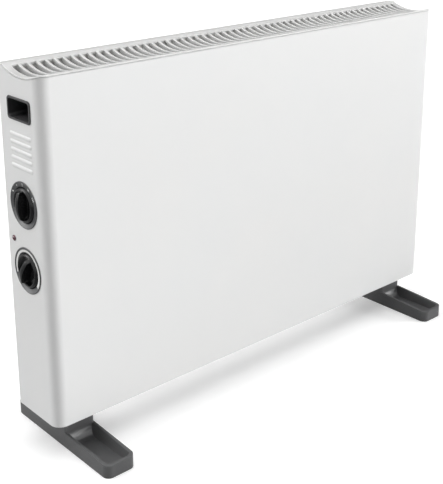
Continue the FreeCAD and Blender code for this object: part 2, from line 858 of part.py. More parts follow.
stack_z = thermostat_z - stack_offset
frame_back_x = cup_back_x + frame_thickness
contact_x = frame_back_x + spacer_lower
middle_spacer_x = contact_x + contact_thickness
bimetal_x = middle_spacer_x + spacer_middle
upper_spacer_x = bimetal_x + bimetal_thickness
stack_end_x = upper_spacer_x + spacer_upper


def make_thermostat_frame():
    half = frame_width / 2
    top = thermostat_z + frame_length / 2
    plate = block(cup_back_x, frame_back_x, dial_setback - small_screw_offset - half / 2,
                  dial_setback + small_screw_offset + half / 2, stack_z - stack_radius, top)
    axis = point(cup_back_x, dial_setback, thermostat_z)
    through = X_AXIS * (frame_thickness + bush_length)
    plate = plate.fuse(rod(bush_radius, axis, axis + through))
    holes = [drill(spindle_radius + running_clearance, axis, axis + through)]
    for offset in (-small_screw_offset, small_screw_offset):
        start = axis + Y_AXIS * offset
        holes.append(drill(small_screw_radius + running_clearance, start, start + through))
    rivet_start = point(cup_back_x, dial_setback, stack_z)
    holes.append(drill(stack_rivet_radius + running_clearance, rivet_start, rivet_start + through))
    return plate.cut(holes).removeSplitter()


def make_thermostat_spindle():
    start = left_x + knob_depth - spindle_grip + fit
    end = contact_x - fit
    return rod(spindle_radius, point(start, dial_setback, thermostat_z),
               point(end, dial_setback, thermostat_z))


def make_thermostat_spacers():
    spacers = []
    for start, length in ((frame_back_x, spacer_lower), (middle_spacer_x, spacer_middle),
                          (upper_spacer_x, spacer_upper)):
        low = point(start, dial_setback, stack_z)
        spacers.append(ring(stack_radius, stack_rivet_radius + running_clearance, low, low + X_AXIS * length))
    return spacers


def make_stack_blade(start_x, thickness, width, reach):
    """Flat spring blade that is clamped in the insulator stack and reaches up past the spindle."""
    blade = block(start_x, start_x + thickness, dial_setback - width / 2, dial_setback + width / 2,
                  stack_z - blade_overhang - stack_radius, stack_z + reach)
    hole_start = point(start_x, dial_setback, stack_z)
    hole_end = hole_start + X_AXIS * thickness
    return blade.cut(drill(stack_rivet_radius + running_clearance, hole_start, hole_end))


def make_stack_rivet():
    start = point(cup_back_x, dial_setback, stack_z)
    end = point(stack_end_x, dial_setback, stack_z)
    shank = rod(stack_rivet_radius, start, end)
    head = rod(stack_rivet_radius * 2, end, end + X_AXIS * rivet_head)
    return shank.fuse(head).removeSplitter()


def make_lamp_lens():
    axis = point(left_x, lamp_y, lamp_z)
    stem = rod(lamp_radius, axis, axis + X_AXIS * lamp_stem)
    flange = rod(lamp_flange_radius, axis - X_AXIS * lamp_flange_thickness, axis)
    slope = lamp_radius * math.sqrt(0.5)
    crown_x = left_x - lamp_flange_thickness
    base = point(crown_x, lamp_y, lamp_z + lamp_radius)
    middle = point(crown_x - lamp_dome * math.sqrt(0.5), lamp_y, lamp_z + slope)
    crown = point(crown_x - lamp_dome, lamp_y, lamp_z)
    foot = point(crown_x, lamp_y, lamp_z)
    profile = Part.Wire([
        Part.Arc(base, middle, crown).toShape(),
        Part.LineSegment(crown, foot).toShape(),
        Part.LineSegment(foot, base).toShape(),
    ])
    dome = Part.Face(profile).revolve(axis, X_AXIS, 360)
    return stem.fuse([flange, dome]).removeSplitter()


def make_lamp_holder():
    start = point(side_inner_x, lamp_y, lamp_z)
    outer = lamp_radius + lamp_holder_wall
    sleeve = rod(outer, start, start + X_AXIS * lamp_holder_length)
    bore_end = point(left_x + lamp_stem + fit, lamp_y, lamp_z)
    return sleeve.cut(rod(lamp_radius + fit / 4, start - X_AXIS * cut_margin, bore_end))


def make_partition():
    top = panel_top_z - trough_depth - partition_top_gap
    low_y = inner_front_y + fit
    wall = block(partition_x, chamber_x, low_y + sheet, panel_y - sheet, plate_z, top)
    rear_turn = block(partition_x, chamber_x + bracket_flange, panel_y - sheet, panel_y,
                      plate_z + pan_flange + fit, top)
    foot_turn = block(partition_x, chamber_x + bracket_flange, low_y + sheet, panel_y - 2 * sheet - fit,
                      plate_z, plate_z + sheet)
    wall = wall.cut(block(partition_x - cut_margin, chamber_x + cut_margin, panel_y - sheet - fit, panel_y,
                          plate_z - cut_margin, plate_z + pan_flange + fit))
    wall = wall.fuse([rear_turn, foot_turn])
    through = X_AXIS * sheet
    grommet_axis = point(partition_x, dial_setback, grommet_z)
    cutout_axis = point(partition_x, cutout_setback, cutout_z)
    holes = [
        drill(grommet_radius + fit / 2, grommet_axis, grommet_axis + through),
        drill(cutout_cap_radius + fit, cutout_axis, cutout_axis + through),
    ]
    for side in (-1, 1):
        start = cutout_axis + Z_AXIS * side * cutout_rivet_reach
        holes.append(drill(rivet_radius + fit / 2, start, start + through))
    return wall.cut(holes).removeSplitter()


def make_grommet():
    start = point(partition_x - grommet_lip, dial_setback, grommet_z)
    end = point(chamber_x + grommet_lip, dial_setback, grommet_z)
    sleeve = rod(grommet_radius, start, end)
    lips = [
        rod(grommet_radius + grommet_lip, start, start + X_AXIS * grommet_lip),
        rod(grommet_radius + grommet_lip, end - X_AXIS * grommet_lip, end),
    ]
    bore = drill(grommet_radius - grommet_wall, start, end)
    return sleeve.fuse(lips).cut(bore).removeSplitter()


def make_element_bracket(side):
    """Upright steel bracket at one end of the elements: side is -1 on the left and 1 on the right."""
    near_x = left_bracket_x if side < 0 else right_bracket_x
    far_x = near_x + bracket_sheet
    half = bracket_width / 2
    top = upper_element_z + bracket_top_margin
    plate = block(near_x, far_x, -half, half, plate_z, top)
    outer_x = near_x - bracket_flange if side < 0 else far_x + bracket_flange
    low_x = min(outer_x, near_x)
    high_x = max(outer_x, far_x)
    foot = block(low_x, high_x, -half, half, plate_z, plate_z + bracket_sheet)
    back = block(low_x, high_x, half - bracket_sheet, half, plate_z + pan_flange, top)
    bracket = plate.fuse([foot, back])
    holes = []
    for height in (lower_element_z, upper_element_z):
        holes.append(drill(ceramic_radius + fit / 2, point(near_x, 0, height), point(far_x, 0, height)))
    for x, y in bracket_screw_places:
        holes.append(drill(
            rivet_radius + fit / 2, point(x, y, plate_z), point(x, y, plate_z + bracket_sheet)))
    for x, z in baffle_rivet_places:
        holes.append(drill(rivet_radius + fit / 2, point(x, half - bracket_sheet, z), point(x, half, z)))
    return bracket.cut(holes).removeSplitter()


baffle_low_z = plate_z + baffle_bottom
baffle_rivet_places = [
    (x, z)
    for x in (left_bracket_x - bracket_flange / 2, right_bracket_x + bracket_sheet + bracket_flange / 2)
    for z in (lower_element_z, upper_element_z)
]


def make_baffle():
    plate = block(left_bracket_x - bracket_flange, right_bracket_x + bracket_sheet + bracket_flange,
                  baffle_y, baffle_y + baffle_sheet, baffle_low_z, baffle_low_z + baffle_height)
    holes = [
        drill(rivet_radius + fit / 2, point(x, baffle_y, z), point(x, baffle_y + baffle_sheet, z))
        for x, z in baffle_rivet_places
    ]
    return plate.cut(holes)


def make_baffle_rivets():
    start_y = baffle_y + baffle_sheet
    length = baffle_sheet + bracket_sheet + rivet_head
    return [headed_pin(point(x, start_y, z), -Y_AXIS, rivet_radius, length, rivet_head_radius, rivet_head)
            for x, z in baffle_rivet_places]


def make_bracket_rivets():
    start_z = plate_z + bracket_sheet
    length = bracket_sheet + sheet
    return [headed_pin(point(x, y, start_z), -Z_AXIS, rivet_radius, length, rivet_head_radius, rivet_head)
            for x, y in bracket_screw_places]


element_left_x = left_bracket_x + bracket_sheet + ceramic_collar + fit
element_right_x = right_bracket_x - ceramic_collar - fit
sheath_left_x = element_left_x - sheath_length
sheath_right_x = element_right_x + sheath_length
pin_tip_x = sheath_left_x - pin_length


def make_heating_element(height):
    """Aluminium heating element: a round core with four long fins set as an X."""
    core = rod(core_radius, point(element_left_x, 0, height), point(element_right_x, 0, height))
    fins = []
    for angle in (-fin_angle, fin_angle):
        fin = block(element_left_x, element_right_x, -fin_span / 2, fin_span / 2,
                    height - fin_sheet / 2, height + fin_sheet / 2)
        fin.rotate(point(0, 0, height), X_AXIS, angle)
        fins.append(fin)
    sheath = rod(sheath_radius, point(sheath_left_x, 0, height), point(sheath_right_x, 0, height))
    return core.fuse(fins + [sheath]).removeSplitter()


def make_element_bushes():
    bushes = []
    for height in (lower_element_z, upper_element_z):
        for inner_x, outward in ((left_bracket_x + bracket_sheet, -1), (right_bracket_x, 1)):
            face = point(inner_x, 0, height)
            collar = rod(ceramic_collar_radius, face, face - X_AXIS * outward * ceramic_collar)
            sleeve = rod(ceramic_radius, face, face + X_AXIS * outward * (ceramic_length - ceramic_collar))
            bore_start = face - X_AXIS * outward * ceramic_collar
            bore_end = face + X_AXIS * outward * (ceramic_length - ceramic_collar)
            bush = collar.fuse(sleeve).cut(drill(sheath_radius + fit / 2, bore_start, bore_end))
            bushes.append(bush.removeSplitter())
    return bushes


def make_element_pins():
    return [
        rod(pin_radius, point(pin_tip_x, y, height), point(sheath_left_x, y, height))
        for height in (lower_element_z, upper_element_z) for y in (-pin_offset, pin_offset)
    ]


def make_neutral_strap():
    """Flat strap that joins the rear pin of one element to that of the other."""
    near_x = sheath_left_x - pin_length / 2
    far_x = near_x + strap_thickness
    strap = block(near_x, far_x, pin_offset - strap_width / 2, pin_offset + strap_width / 2,
                  lower_element_z - strap_width, upper_element_z + strap_width)
    holes = [
        drill(pin_radius + fit / 4, point(near_x, pin_offset, height), point(far_x, pin_offset, height))
        for height in (lower_element_z, upper_element_z)
    ]
    return strap.cut(holes)


cutout_terminal_x = partition_x - cutout_plate - cutout_depth - terminal_length
cutout_terminal_z = (cutout_z - cutout_radius / 2, cutout_z + cutout_radius / 2)


def make_cutout():
    axis = point(partition_x, cutout_setback, cutout_z)
    plate = block(partition_x - cutout_plate, partition_x, cutout_setback - cutout_radius / 2,
                  cutout_setback + cutout_radius / 2, cutout_z - cutout_rivet_reach - rivet_head_radius,
                  cutout_z + cutout_rivet_reach + rivet_head_radius)
    body = rod(cutout_radius, axis - X_AXIS * (cutout_plate + cutout_depth), axis)
    cap = rod(cutout_cap_radius, axis, axis + X_AXIS * cutout_cap)
    holes = []
    for side in (-1, 1):
        start = axis + Z_AXIS * side * cutout_rivet_reach - X_AXIS * cutout_plate
        holes.append(drill(rivet_radius + fit / 2, start, start + X_AXIS * cutout_plate))
    return plate.fuse([body, cap]).cut(holes).removeSplitter()


def make_cutout_terminals():
    back_x = partition_x - cutout_plate - cutout_depth
    low_y = cutout_setback - terminal_width / 2
    high_y = cutout_setback + terminal_width / 2
    return [
        block(cutout_terminal_x, back_x, low_y, high_y,
              z - terminal_thickness / 2, z + terminal_thickness / 2)
        for z in cutout_terminal_z
    ]


def make_cutout_rivets():
    start_x = partition_x - cutout_plate
    length = cutout_plate + sheet + rivet_head
    return [
        headed_pin(point(start_x, cutout_setback, cutout_z + side * cutout_rivet_reach), X_AXIS, rivet_radius,
                   length, rivet_head_radius, rivet_head)
        for side in (-1, 1)
    ]


block_x = partition_x - block_depth
way_places = [dial_setback + index * way_pitch for index in (-1, 0, 1)]
way_x = partition_x - block_depth / 2
block_top_z = block_z + block_height


def make_terminal_block():
    body = block(block_x, partition_x, dial_setback - block_length / 2, dial_setback + block_length / 2,
                 block_z, block_top_z)
    cuts = []
    level = block_z + block_height / 2
    for y in way_places:
        cuts.append(drill(way_bore, point(way_x, y, block_z), point(way_x, y, block_top_z)))
        cuts.append(rod(block_screw_radius + fit / 2, point(block_x - cut_margin, y, level),
                        point(way_x - way_bore, y, level)))
    half_groove = barrier_groove_width / 2
    for y in (dial_setback - way_pitch / 2, dial_setback + way_pitch / 2):
        cuts.append(block(block_x - cut_margin, block_x + barrier_groove_depth,
                          y - half_groove, y + half_groove, block_z - cut_margin, block_top_z + cut_margin))
    return body.cut(cuts)


def make_terminal_screws():
    level = block_z + block_height / 2
    start_x = block_x + block_screw_inset
    return [rod(block_screw_radius, point(start_x, y, level), point(way_x - way_bore - fit, y, level))
            for y in way_places]


def make_cord_inlet():
    """Flanged bush in the rear panel that the supply cord goes through."""
    outer = inlet_bore + inlet_wall
    start = point(inlet_x, rear_y - inlet_length, inlet_z)
    end = point(inlet_x, rear_y + inlet_flange_thickness, inlet_z)
    flange = rod(outer + inlet_flange, point(inlet_x, rear_y, inlet_z), end)
    lock = rod(outer + inlet_flange / 2, point(inlet_x, panel_y - inlet_flange_thickness, inlet_z),
               point(inlet_x, panel_y, inlet_z))
    sleeve = rod(outer, start, end)
    return sleeve.fuse([flange, lock]).cut(drill(inlet_bore, start, end)).removeSplitter()


earth_point = point(earth_x, earth_setback, plate_z)
lug_z = plate_z + nut_height


def make_earth_stud():
    head = rod(foot_screw_head_radius, point(earth_x, earth_setback, base_z - foot_screw_head + sheet),
               point(earth_x, earth_setback, base_z))
    shank = rod(earth_radius, point(earth_x, earth_setback, base_z - sheet),
                point(earth_x, earth_setback, plate_z + earth_length))
    return head.fuse(shank).removeSplitter()


def make_earth_nuts():
    lower = hex_nut(earth_point, earth_radius + fit / 4)
    upper = hex_nut(earth_point + Z_AXIS * (nut_height + terminal_thickness), earth_radius + fit / 4)
    return [lower, upper]


lug_end_y = earth_setback - 3 * earth_radius - terminal_length


def make_earth_lug():
    low = earth_point + Z_AXIS * nut_height
    high = low + Z_AXIS * terminal_thickness
    eye = rod(2 * earth_radius, low, high)
    tail = block(earth_x - earth_radius, earth_x + earth_radius, lug_end_y, earth_setback, lug_z,
                 lug_z + terminal_thickness)
    return eye.fuse(tail).cut(drill(earth_radius + fit / 4, low, high)).removeSplitter()


near_lane_x = terminal_tip_x + wire_bend - wire_radius
far_lane_x = near_lane_x + wire_bend
contact_tab_z = stack_z - blade_overhang - stack_radius


def make_live_wire():
    """From the first way of the terminal block up to the thermostat's contact blade."""
    turn_z = (block_top_z + contact_tab_z) / 2
    tab_x = contact_x + contact_thickness / 2
    return wire_run([
        point(way_x, way_places[0], block_top_z - block_height / 4),
        point(way_x, way_places[0], turn_z),
        point(tab_x, dial_setback, turn_z),
        point(tab_x, dial_setback, contact_tab_z - wire_gap),
    ])


def make_switched_wire():
    """From the thermostat's bimetal blade up to the selector switch."""
    tab_x = bimetal_x + bimetal_thickness / 2
    y, z = switch_terminal_places[2]
    low_z = contact_tab_z - 2 * wire_bend
    lane_y = dial_setback - frame_width
    return wire_run([
        point(tab_x, dial_setback, contact_tab_z - wire_gap),
        point(tab_x, dial_setback, low_z),
        point(near_lane_x, lane_y, low_z),
        point(near_lane_x, lane_y, z),
        point(near_lane_x, y, z),
        point(terminal_tip_x + wire_gap, y, z),
    ], bend=wire_bend / 2)


def make_element_wires():
    """From the selector switch through the grommet to the front pin of each element."""
    wires = []
    room = grommet_radius - grommet_wall - 2 * wire_radius
    lanes = ((0, -room / 2, upper_element_z, 2), (1, room / 2, lower_element_z, 1))
    for index, offset, height, lane in lanes:
        y, z = switch_terminal_places[index]
        drop_x = chamber_x + lane * 3 * wire_radius + grommet_lip
        wires.append(wire_run([
            point(terminal_tip_x + wire_gap, y, z),
            point(far_lane_x, y, z),
            point(far_lane_x, dial_setback + offset, grommet_z),
            point(drop_x, dial_setback + offset, grommet_z),
            point(drop_x, -pin_offset, height),
            point(pin_tip_x - wire_gap, -pin_offset, height),
        ], bend=wire_bend / 2))
    return wires


def make_neutral_wire():
    """From the last way of the terminal block to the thermal cut-out."""
    lane_x = cutout_terminal_x - wire_bend
    turn_z = block_top_z + 2 * wire_bend
    return wire_run([
        point(way_x, way_places[2], block_top_z - block_height / 4),
        point(way_x, way_places[2], turn_z),
        point(lane_x, cutout_setback, turn_z),
        point(lane_x, cutout_setback, cutout_terminal_z[0]),
        point(cutout_terminal_x - wire_gap, cutout_setback, cutout_terminal_z[0]),
    ], bend=wire_bend / 2)


def make_return_wire():
    """From the thermal cut-out through the grommet to the rear pin of the upper element."""
    lane_x = cutout_terminal_x - wire_bend
    lane_y = dial_setback
    high_z = grommet_z + grommet_radius - grommet_wall - 2 * wire_radius
    drop_x = chamber_x + 3 * 3 * wire_radius + grommet_lip
    return wire_run([
        point(cutout_terminal_x - wire_gap, cutout_setback, cutout_terminal_z[1]),
        point(lane_x, cutout_setback, cutout_terminal_z[1]),
        point(lane_x, cutout_setback, high_z),
        point(lane_x, lane_y, high_z),
        point(drop_x, lane_y, high_z),
        point(drop_x, pin_offset, upper_element_z),
        point(pin_tip_x - wire_gap, pin_offset, upper_element_z),
    ], bend=wire_bend / 2)


def make_earth_wire():
    """From the middle way of the terminal block down to the earth lug."""
    level = lug_z + terminal_thickness / 2
    lane_y = lug_end_y - 2 * wire_bend
    return wire_run([
        point(way_x, way_places[1], block_z + block_height / 4),
        point(way_x, way_places[1], block_z - 2 * wire_bend),
        point(earth_x, lane_y, block_z - 2 * wire_bend),
        point(earth_x, lane_y, level),
        point(earth_x, lug_end_y - wire_gap, level),
    ], bend=wire_bend / 2)


def save(name, solids):
    """Write one piece, or a group of like pieces, placed about the middle of the footprint."""
    shapes = solids if isinstance(solids, list) else [solids]
    group = Part.makeCompound(shapes) if len(shapes) > 1 else shapes[0]
    group = group.copy()
    group.translate(point(footprint_shift_x, footprint_shift_y, 0))
    for solid in group.Solids:
        if not solid.isValid() or solid.Volume <= 0:
            raise ValueError(name + " has a bad solid")
    if len(group.Solids) != len(shapes):
        raise ValueError(name + " has " + str(len(group.Solids)) + " solids")
    group.exportStep("parts/" + name + ".step")


def main():
    os.makedirs("parts", exist_ok=True)
    save("front_casing", make_front_casing())
    save("rear_panel", make_rear_panel())
    save("bottom_plate", make_bottom_plate())
    save("top_grille", make_top_grille())
    save("left_grip_cup", make_grip_cup(-1))
    save("right_grip_cup", make_grip_cup(1))
    save("left_foot", make_foot(-1))
    save("right_foot", make_foot(1))
    save("foot_screws", make_foot_screws())
    save("foot_nuts", make_foot_nuts())
    save("rear_screws", make_rear_screws())
    save("grille_screws", make_grille_screws())
    save("heat_dial_cup", make_dial_cup(heat_z))
    save("heat_knob", make_knob(heat_z, 0))
    save("heat_spindle", make_heat_spindle())
    save("heat_switch", make_heat_switch())
    save("heat_switch_terminals", make_switch_terminals())
    save("heat_switch_screws", make_control_screws(heat_z))
    save("thermostat_dial_cup", make_dial_cup(thermostat_z))
    save("thermostat_knob", make_knob(thermostat_z, thermostat_angle))
    save("thermostat_spindle", make_thermostat_spindle())
    save("thermostat_frame", make_thermostat_frame())
    save("thermostat_spacers", make_thermostat_spacers())
    save("contact_blade", make_stack_blade(contact_x, contact_thickness, contact_width, blade_reach))
    save("bimetal_blade", make_stack_blade(bimetal_x, bimetal_thickness, bimetal_width, blade_reach))
    save("thermostat_rivet", make_stack_rivet())
    save("thermostat_screws", make_control_screws(thermostat_z))
    save("pilot_lens", make_lamp_lens())
    save("pilot_holder", make_lamp_holder())
    save("bay_partition", make_partition())
    save("wire_grommet", make_grommet())
    save("left_element_bracket", make_element_bracket(-1))
    save("right_element_bracket", make_element_bracket(1))
    save("bracket_rivets", make_bracket_rivets())
    save("lower_heating_element", make_heating_element(lower_element_z))
    save("upper_heating_element", make_heating_element(upper_element_z))
    save("element_bushes", make_element_bushes())
    save("element_pins", make_element_pins())
    save("neutral_strap", make_neutral_strap())
    save("rear_baffle", make_baffle())
    save("baffle_rivets", make_baffle_rivets())
    save("thermal_cutout", make_cutout())
    save("cutout_terminals", make_cutout_terminals())
    save("cutout_rivets", make_cutout_rivets())
    save("terminal_block", make_terminal_block())
    save("terminal_screws", make_terminal_screws())
    save("cord_inlet", make_cord_inlet())
    save("earth_stud", make_earth_stud())
    save("earth_nuts", make_earth_nuts())
    save("earth_lug", make_earth_lug())
    save("live_wire", make_live_wire())
    save("switched_wire", make_switched_wire())
    save("element_wires", make_element_wires())
    save("neutral_wire", make_neutral_wire())
    save("return_wire", make_return_wire())
    save("earth_wire", make_earth_wire())


main()
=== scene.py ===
import logging
import math
from dataclasses import dataclass
from enum import Enum
from typing import Callable, Optional, Sequence, Union

import bmesh
import bpy
from mathutils import Matrix, Vector


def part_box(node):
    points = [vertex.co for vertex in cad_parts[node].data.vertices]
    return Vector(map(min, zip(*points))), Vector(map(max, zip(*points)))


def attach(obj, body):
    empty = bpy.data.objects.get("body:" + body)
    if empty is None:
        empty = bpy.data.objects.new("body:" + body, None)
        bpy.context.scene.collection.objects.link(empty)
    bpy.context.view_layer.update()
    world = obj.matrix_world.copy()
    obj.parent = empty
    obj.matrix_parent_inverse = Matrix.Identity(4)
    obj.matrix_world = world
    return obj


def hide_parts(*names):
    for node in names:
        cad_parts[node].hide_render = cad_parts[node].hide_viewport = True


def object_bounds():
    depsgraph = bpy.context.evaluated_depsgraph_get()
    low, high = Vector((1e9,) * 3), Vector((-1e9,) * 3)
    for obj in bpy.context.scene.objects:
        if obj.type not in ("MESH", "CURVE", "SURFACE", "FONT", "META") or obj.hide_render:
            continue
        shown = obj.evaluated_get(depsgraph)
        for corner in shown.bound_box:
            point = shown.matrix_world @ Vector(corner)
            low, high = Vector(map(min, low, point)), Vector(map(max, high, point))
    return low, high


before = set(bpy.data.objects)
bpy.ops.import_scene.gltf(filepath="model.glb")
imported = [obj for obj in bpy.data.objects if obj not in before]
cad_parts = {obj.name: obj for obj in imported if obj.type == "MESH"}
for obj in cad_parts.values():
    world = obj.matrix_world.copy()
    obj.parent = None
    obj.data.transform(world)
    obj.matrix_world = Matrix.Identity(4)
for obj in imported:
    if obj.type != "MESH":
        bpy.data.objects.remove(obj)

# Looks of a white convector heater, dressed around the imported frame.
# +X is the right-hand side seen from the front, the front faces -Y, +Z is up, all in metres.

CAD_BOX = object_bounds()
LOG = logging.getLogger("convector_heater")
MM = 0.001
SHARP_ANGLE = math.radians(42.0)
FLAT_ANGLE = math.radians(0.5)
WELD_REACH = 0.002 * MM
QUARTER_TURN = 90.0
FULL_TURN = 360.0
HEATER = "heater"
HEAT_CONTROL = "heat_control"
THERMOSTAT_CONTROL = "thermostat_control"

Color = tuple[float, float, float]
Place = tuple[float, float, float]
RadiusAndDepth = tuple[float, float]
SocketValue = Union[float, tuple, bpy.types.NodeSocket]

WHITE_LIGHT = (1.0, 1.0, 1.0, 1.0)
DUST_COLOR: Color = (0.42, 0.41, 0.39)


class Graph:
    """Places and joins nodes in one shader tree."""

    SPACING = 200
    MIX_FACTOR = 0
    MIX_FIRST = 6
    MIX_SECOND = 7
    MIX_RESULT = 2

    def __init__(self, tree: bpy.types.NodeTree) -> None:
        """Start from an empty tree."""
        self.tree = tree
        tree.nodes.clear()

    def add(self, kind: str, inputs: Optional[dict] = None, **settings: object) -> bpy.types.Node:
        """Place one node.

        Args:
            kind: Blender's name for the node type.
            inputs: a value or an output socket for each input, by name or number.
            settings: plain properties of the node.

        Returns:
            The new node.
        """
        node = self.tree.nodes.new(kind)
        node.location = (len(self.tree.nodes) * self.SPACING, 0)
        for name, value in settings.items():
            setattr(node, name, value)
        for key, value in (inputs or {}).items():
            if isinstance(value, bpy.types.NodeSocket):
                self.tree.links.new(value, node.inputs[key])
            else:
                node.inputs[key].default_value = value
        return node

    def ramp(self, factor: SocketValue, low: SocketValue, high: SocketValue,
             start: float = 0.0, end: float = 1.0) -> bpy.types.NodeSocket:
        """Map a value from one range to another.

        Args:
            factor: the value to map.
            low: result at the start of the range.
            high: result at the end of the range.
            start: first value of the range.
            end: last value of the range.

        Returns:
            The mapped value.
        """
        inputs = {"Value": factor, "From Min": start, "From Max": end, "To Min": low, "To Max": high}
        return self.add("ShaderNodeMapRange", inputs).outputs["Result"]

    def blend(self, factor: SocketValue, first: SocketValue, second: SocketValue) -> bpy.types.NodeSocket:
        """Mix two colours.

        Args:
            factor: share of the second colour.
            first: colour where the factor is 0.
            second: colour where the factor is 1.

        Returns:
            The mixed colour.
        """
        inputs = {self.MIX_FACTOR: factor}
        for index, value in ((self.MIX_FIRST, first), (self.MIX_SECOND, second)):
            inputs[index] = (*value, 1.0) if isinstance(value, tuple) else value
        return self.add("ShaderNodeMix", inputs, data_type="RGBA").outputs[self.MIX_RESULT]

    def combine(self, operation: str, first: SocketValue, second: SocketValue) -> bpy.types.NodeSocket:
        """Work out one value from two.

        Args:
            operation: Blender's name for the sum.
            first: the first value.
            second: the second value.

        Returns:
            The result.
        """
        return self.add("ShaderNodeMath", {0: first, 1: second}, operation=operation).outputs[0]

    def place(self) -> bpy.types.NodeSocket:
        """Place on a piece, in the piece's own frame."""
        return self.add("ShaderNodeTexCoord").outputs["Object"]

    def noise(self, place: SocketValue, scale: SocketValue, detail: float,
              roughness: float = 0.5) -> bpy.types.NodeSocket:
        """Lay noise over a piece.

        Args:
            place: where on the piece it is read.
            scale: how fine it is.
            detail: how many finer layers lie on it.
            roughness: how strong the finer layers are.

        Returns:
            The noise, from 0 to 1.
        """
        inputs = {"Vector": place, "Scale": scale, "Detail": detail, "Roughness": roughness}
        return self.add("ShaderNodeTexNoise", inputs).outputs["Fac"]


Fill = Callable[[Graph, bpy.types.NodeSocket], bpy.types.NodeSocket]


class Grain(Enum):
    """Fine surface texture that a finish carries."""

    ORANGE_PEEL = "orange_peel"
    SPARK = "spark_texture"
    DRAWN = "drawn_lines"
    SPANGLE = "zinc_spangle"


class SurfaceEffects:
    """Shader node groups that several finishes share, each built once."""

    CLOUD_RANGE = (0.3, 0.7)
    GRIT_RANGE = (0.35, 0.65)
    DRAWN_STRETCH = (0.03, 1.0, 1.0)
    DUST_SLOPES = (0.5, 1.0)
    DUST_CLOUDS = 45.0

    def __init__(self) -> None:
        """Start with no group built."""
        self.built: dict[str, bpy.types.NodeTree] = {}

    def lay(self, graph: Graph, name: str, entry: str, result: str, fill: Fill,
            value: float) -> bpy.types.NodeSocket:
        """Put a group into a material, and build the group if it is new.

        Args:
            graph: the material's graph.
            name: name of the group.
            entry: name of the group's input.
            result: name of the group's output.
            fill: places the group's nodes and gives back the socket of the result.
            value: the material's own value for the input.

        Returns:
            The group's output in the material.
        """
        if name not in self.built:
            tree = bpy.data.node_groups.new(name, "ShaderNodeTree")
            tree.interface.new_socket(entry, in_out="INPUT", socket_type="NodeSocketFloat")
            tree.interface.new_socket(result, in_out="OUTPUT", socket_type="NodeSocketFloat")
            inner = Graph(tree)
            entered = inner.add("NodeGroupInput").outputs[entry]
            inner.add("NodeGroupOutput", {result: fill(inner, entered)})
            self.built[name] = tree
        return graph.add("ShaderNodeGroup", {entry: value}, node_tree=self.built[name]).outputs[result]

    def tone_drift(self, graph: Graph, scale: float) -> bpy.types.NodeSocket:
        """Slow change of a material's tone, from 0 to 1."""
        return self.lay(graph, "tone_drift", "Scale", "Tone", self.fill_tone_drift, scale)

    def settled_dust(self, graph: Graph, amount: float) -> bpy.types.NodeSocket:
        """Thin dust on a material's faces that look up, from 0 to 1."""
        return self.lay(graph, "settled_dust", "Amount", "Mask", self.fill_settled_dust, amount)

    def grain(self, graph: Graph, kind: Grain, scale: float) -> bpy.types.NodeSocket:
        """Fine texture of a material's surface.

        Args:
            graph: the material's graph.
            kind: kind of grain.
            scale: how fine it is.

        Returns:
            The height of the grain.
        """
        fills = {Grain.ORANGE_PEEL: self.fill_orange_peel, Grain.SPARK: self.fill_spark_texture,
                 Grain.DRAWN: self.fill_drawn_lines, Grain.SPANGLE: self.fill_zinc_spangle}
        return self.lay(graph, kind.value, "Scale", "Height", fills[kind], scale)

    def fill_tone_drift(self, graph: Graph, scale: bpy.types.NodeSocket) -> bpy.types.NodeSocket:
        """Soft clouds, spread over the whole range."""
        clouds = graph.noise(graph.place(), scale, detail=3.0, roughness=0.55)
        return graph.ramp(clouds, 0.0, 1.0, *self.CLOUD_RANGE)

    def fill_settled_dust(self, graph: Graph, amount: bpy.types.NodeSocket) -> bpy.types.NodeSocket:
        """Mask from the surface's slope, broken up by clouds.

        Args:
            graph: the group's graph.
            amount: the mask's strength on a level face.

        Returns:
            The mask.
        """
        normal = graph.add("ShaderNodeNewGeometry").outputs["Normal"]
        up = graph.add("ShaderNodeSeparateXYZ", {0: normal}).outputs["Z"]
        level = graph.ramp(up, 0.0, amount, *self.DUST_SLOPES)
        clouds = graph.noise(graph.place(), self.DUST_CLOUDS, detail=6.0)
        return graph.combine("MULTIPLY", level, clouds)

    @staticmethod
    def fill_orange_peel(graph: Graph, scale: bpy.types.NodeSocket) -> bpy.types.NodeSocket:
        """Soft ripple of a baked powder coat: rounded bumps with a little fine noise on them.

        Args:
            graph: the group's graph.
            scale: how fine the ripple is.

        Returns:
            The height of the ripple.
        """
        place = graph.place()
        ripple = graph.add("ShaderNodeTexVoronoi", {"Vector": place, "Scale": scale}, feature="SMOOTH_F1")
        fine = graph.noise(place, scale, detail=4.0)
        return graph.combine("ADD", ripple.outputs["Distance"], fine)

    def fill_spark_texture(self, graph: Graph, scale: bpy.types.NodeSocket) -> bpy.types.NodeSocket:
        """Eroded grain of a textured mould: sharp small noise with flat tops."""
        grit = graph.noise(graph.place(), scale, detail=5.0, roughness=0.65)
        return graph.ramp(grit, 0.0, 1.0, *self.GRIT_RANGE)

    def fill_drawn_lines(self, graph: Graph, scale: bpy.types.NodeSocket) -> bpy.types.NodeSocket:
        """Fine lines left along X by drawing or extruding: noise that is stretched that way.

        Args:
            graph: the group's graph.
            scale: how fine the lines are.

        Returns:
            The height of the lines.
        """
        inputs = {0: graph.place(), 1: self.DRAWN_STRETCH}
        stretched = graph.add("ShaderNodeVectorMath", inputs, operation="MULTIPLY")
        return graph.noise(stretched.outputs[0], scale, detail=4.0)

    @staticmethod
    def fill_zinc_spangle(graph: Graph, scale: bpy.types.NodeSocket) -> bpy.types.NodeSocket:
        """Crystal patches of hot-dipped zinc: flat cells, each with a tone of its own."""
        cells = graph.add("ShaderNodeTexVoronoi", {"Vector": graph.place(), "Scale": scale})
        return graph.add("ShaderNodeSeparateColor", {0: cells.outputs["Color"]}).outputs[0]


EFFECTS = SurfaceEffects()


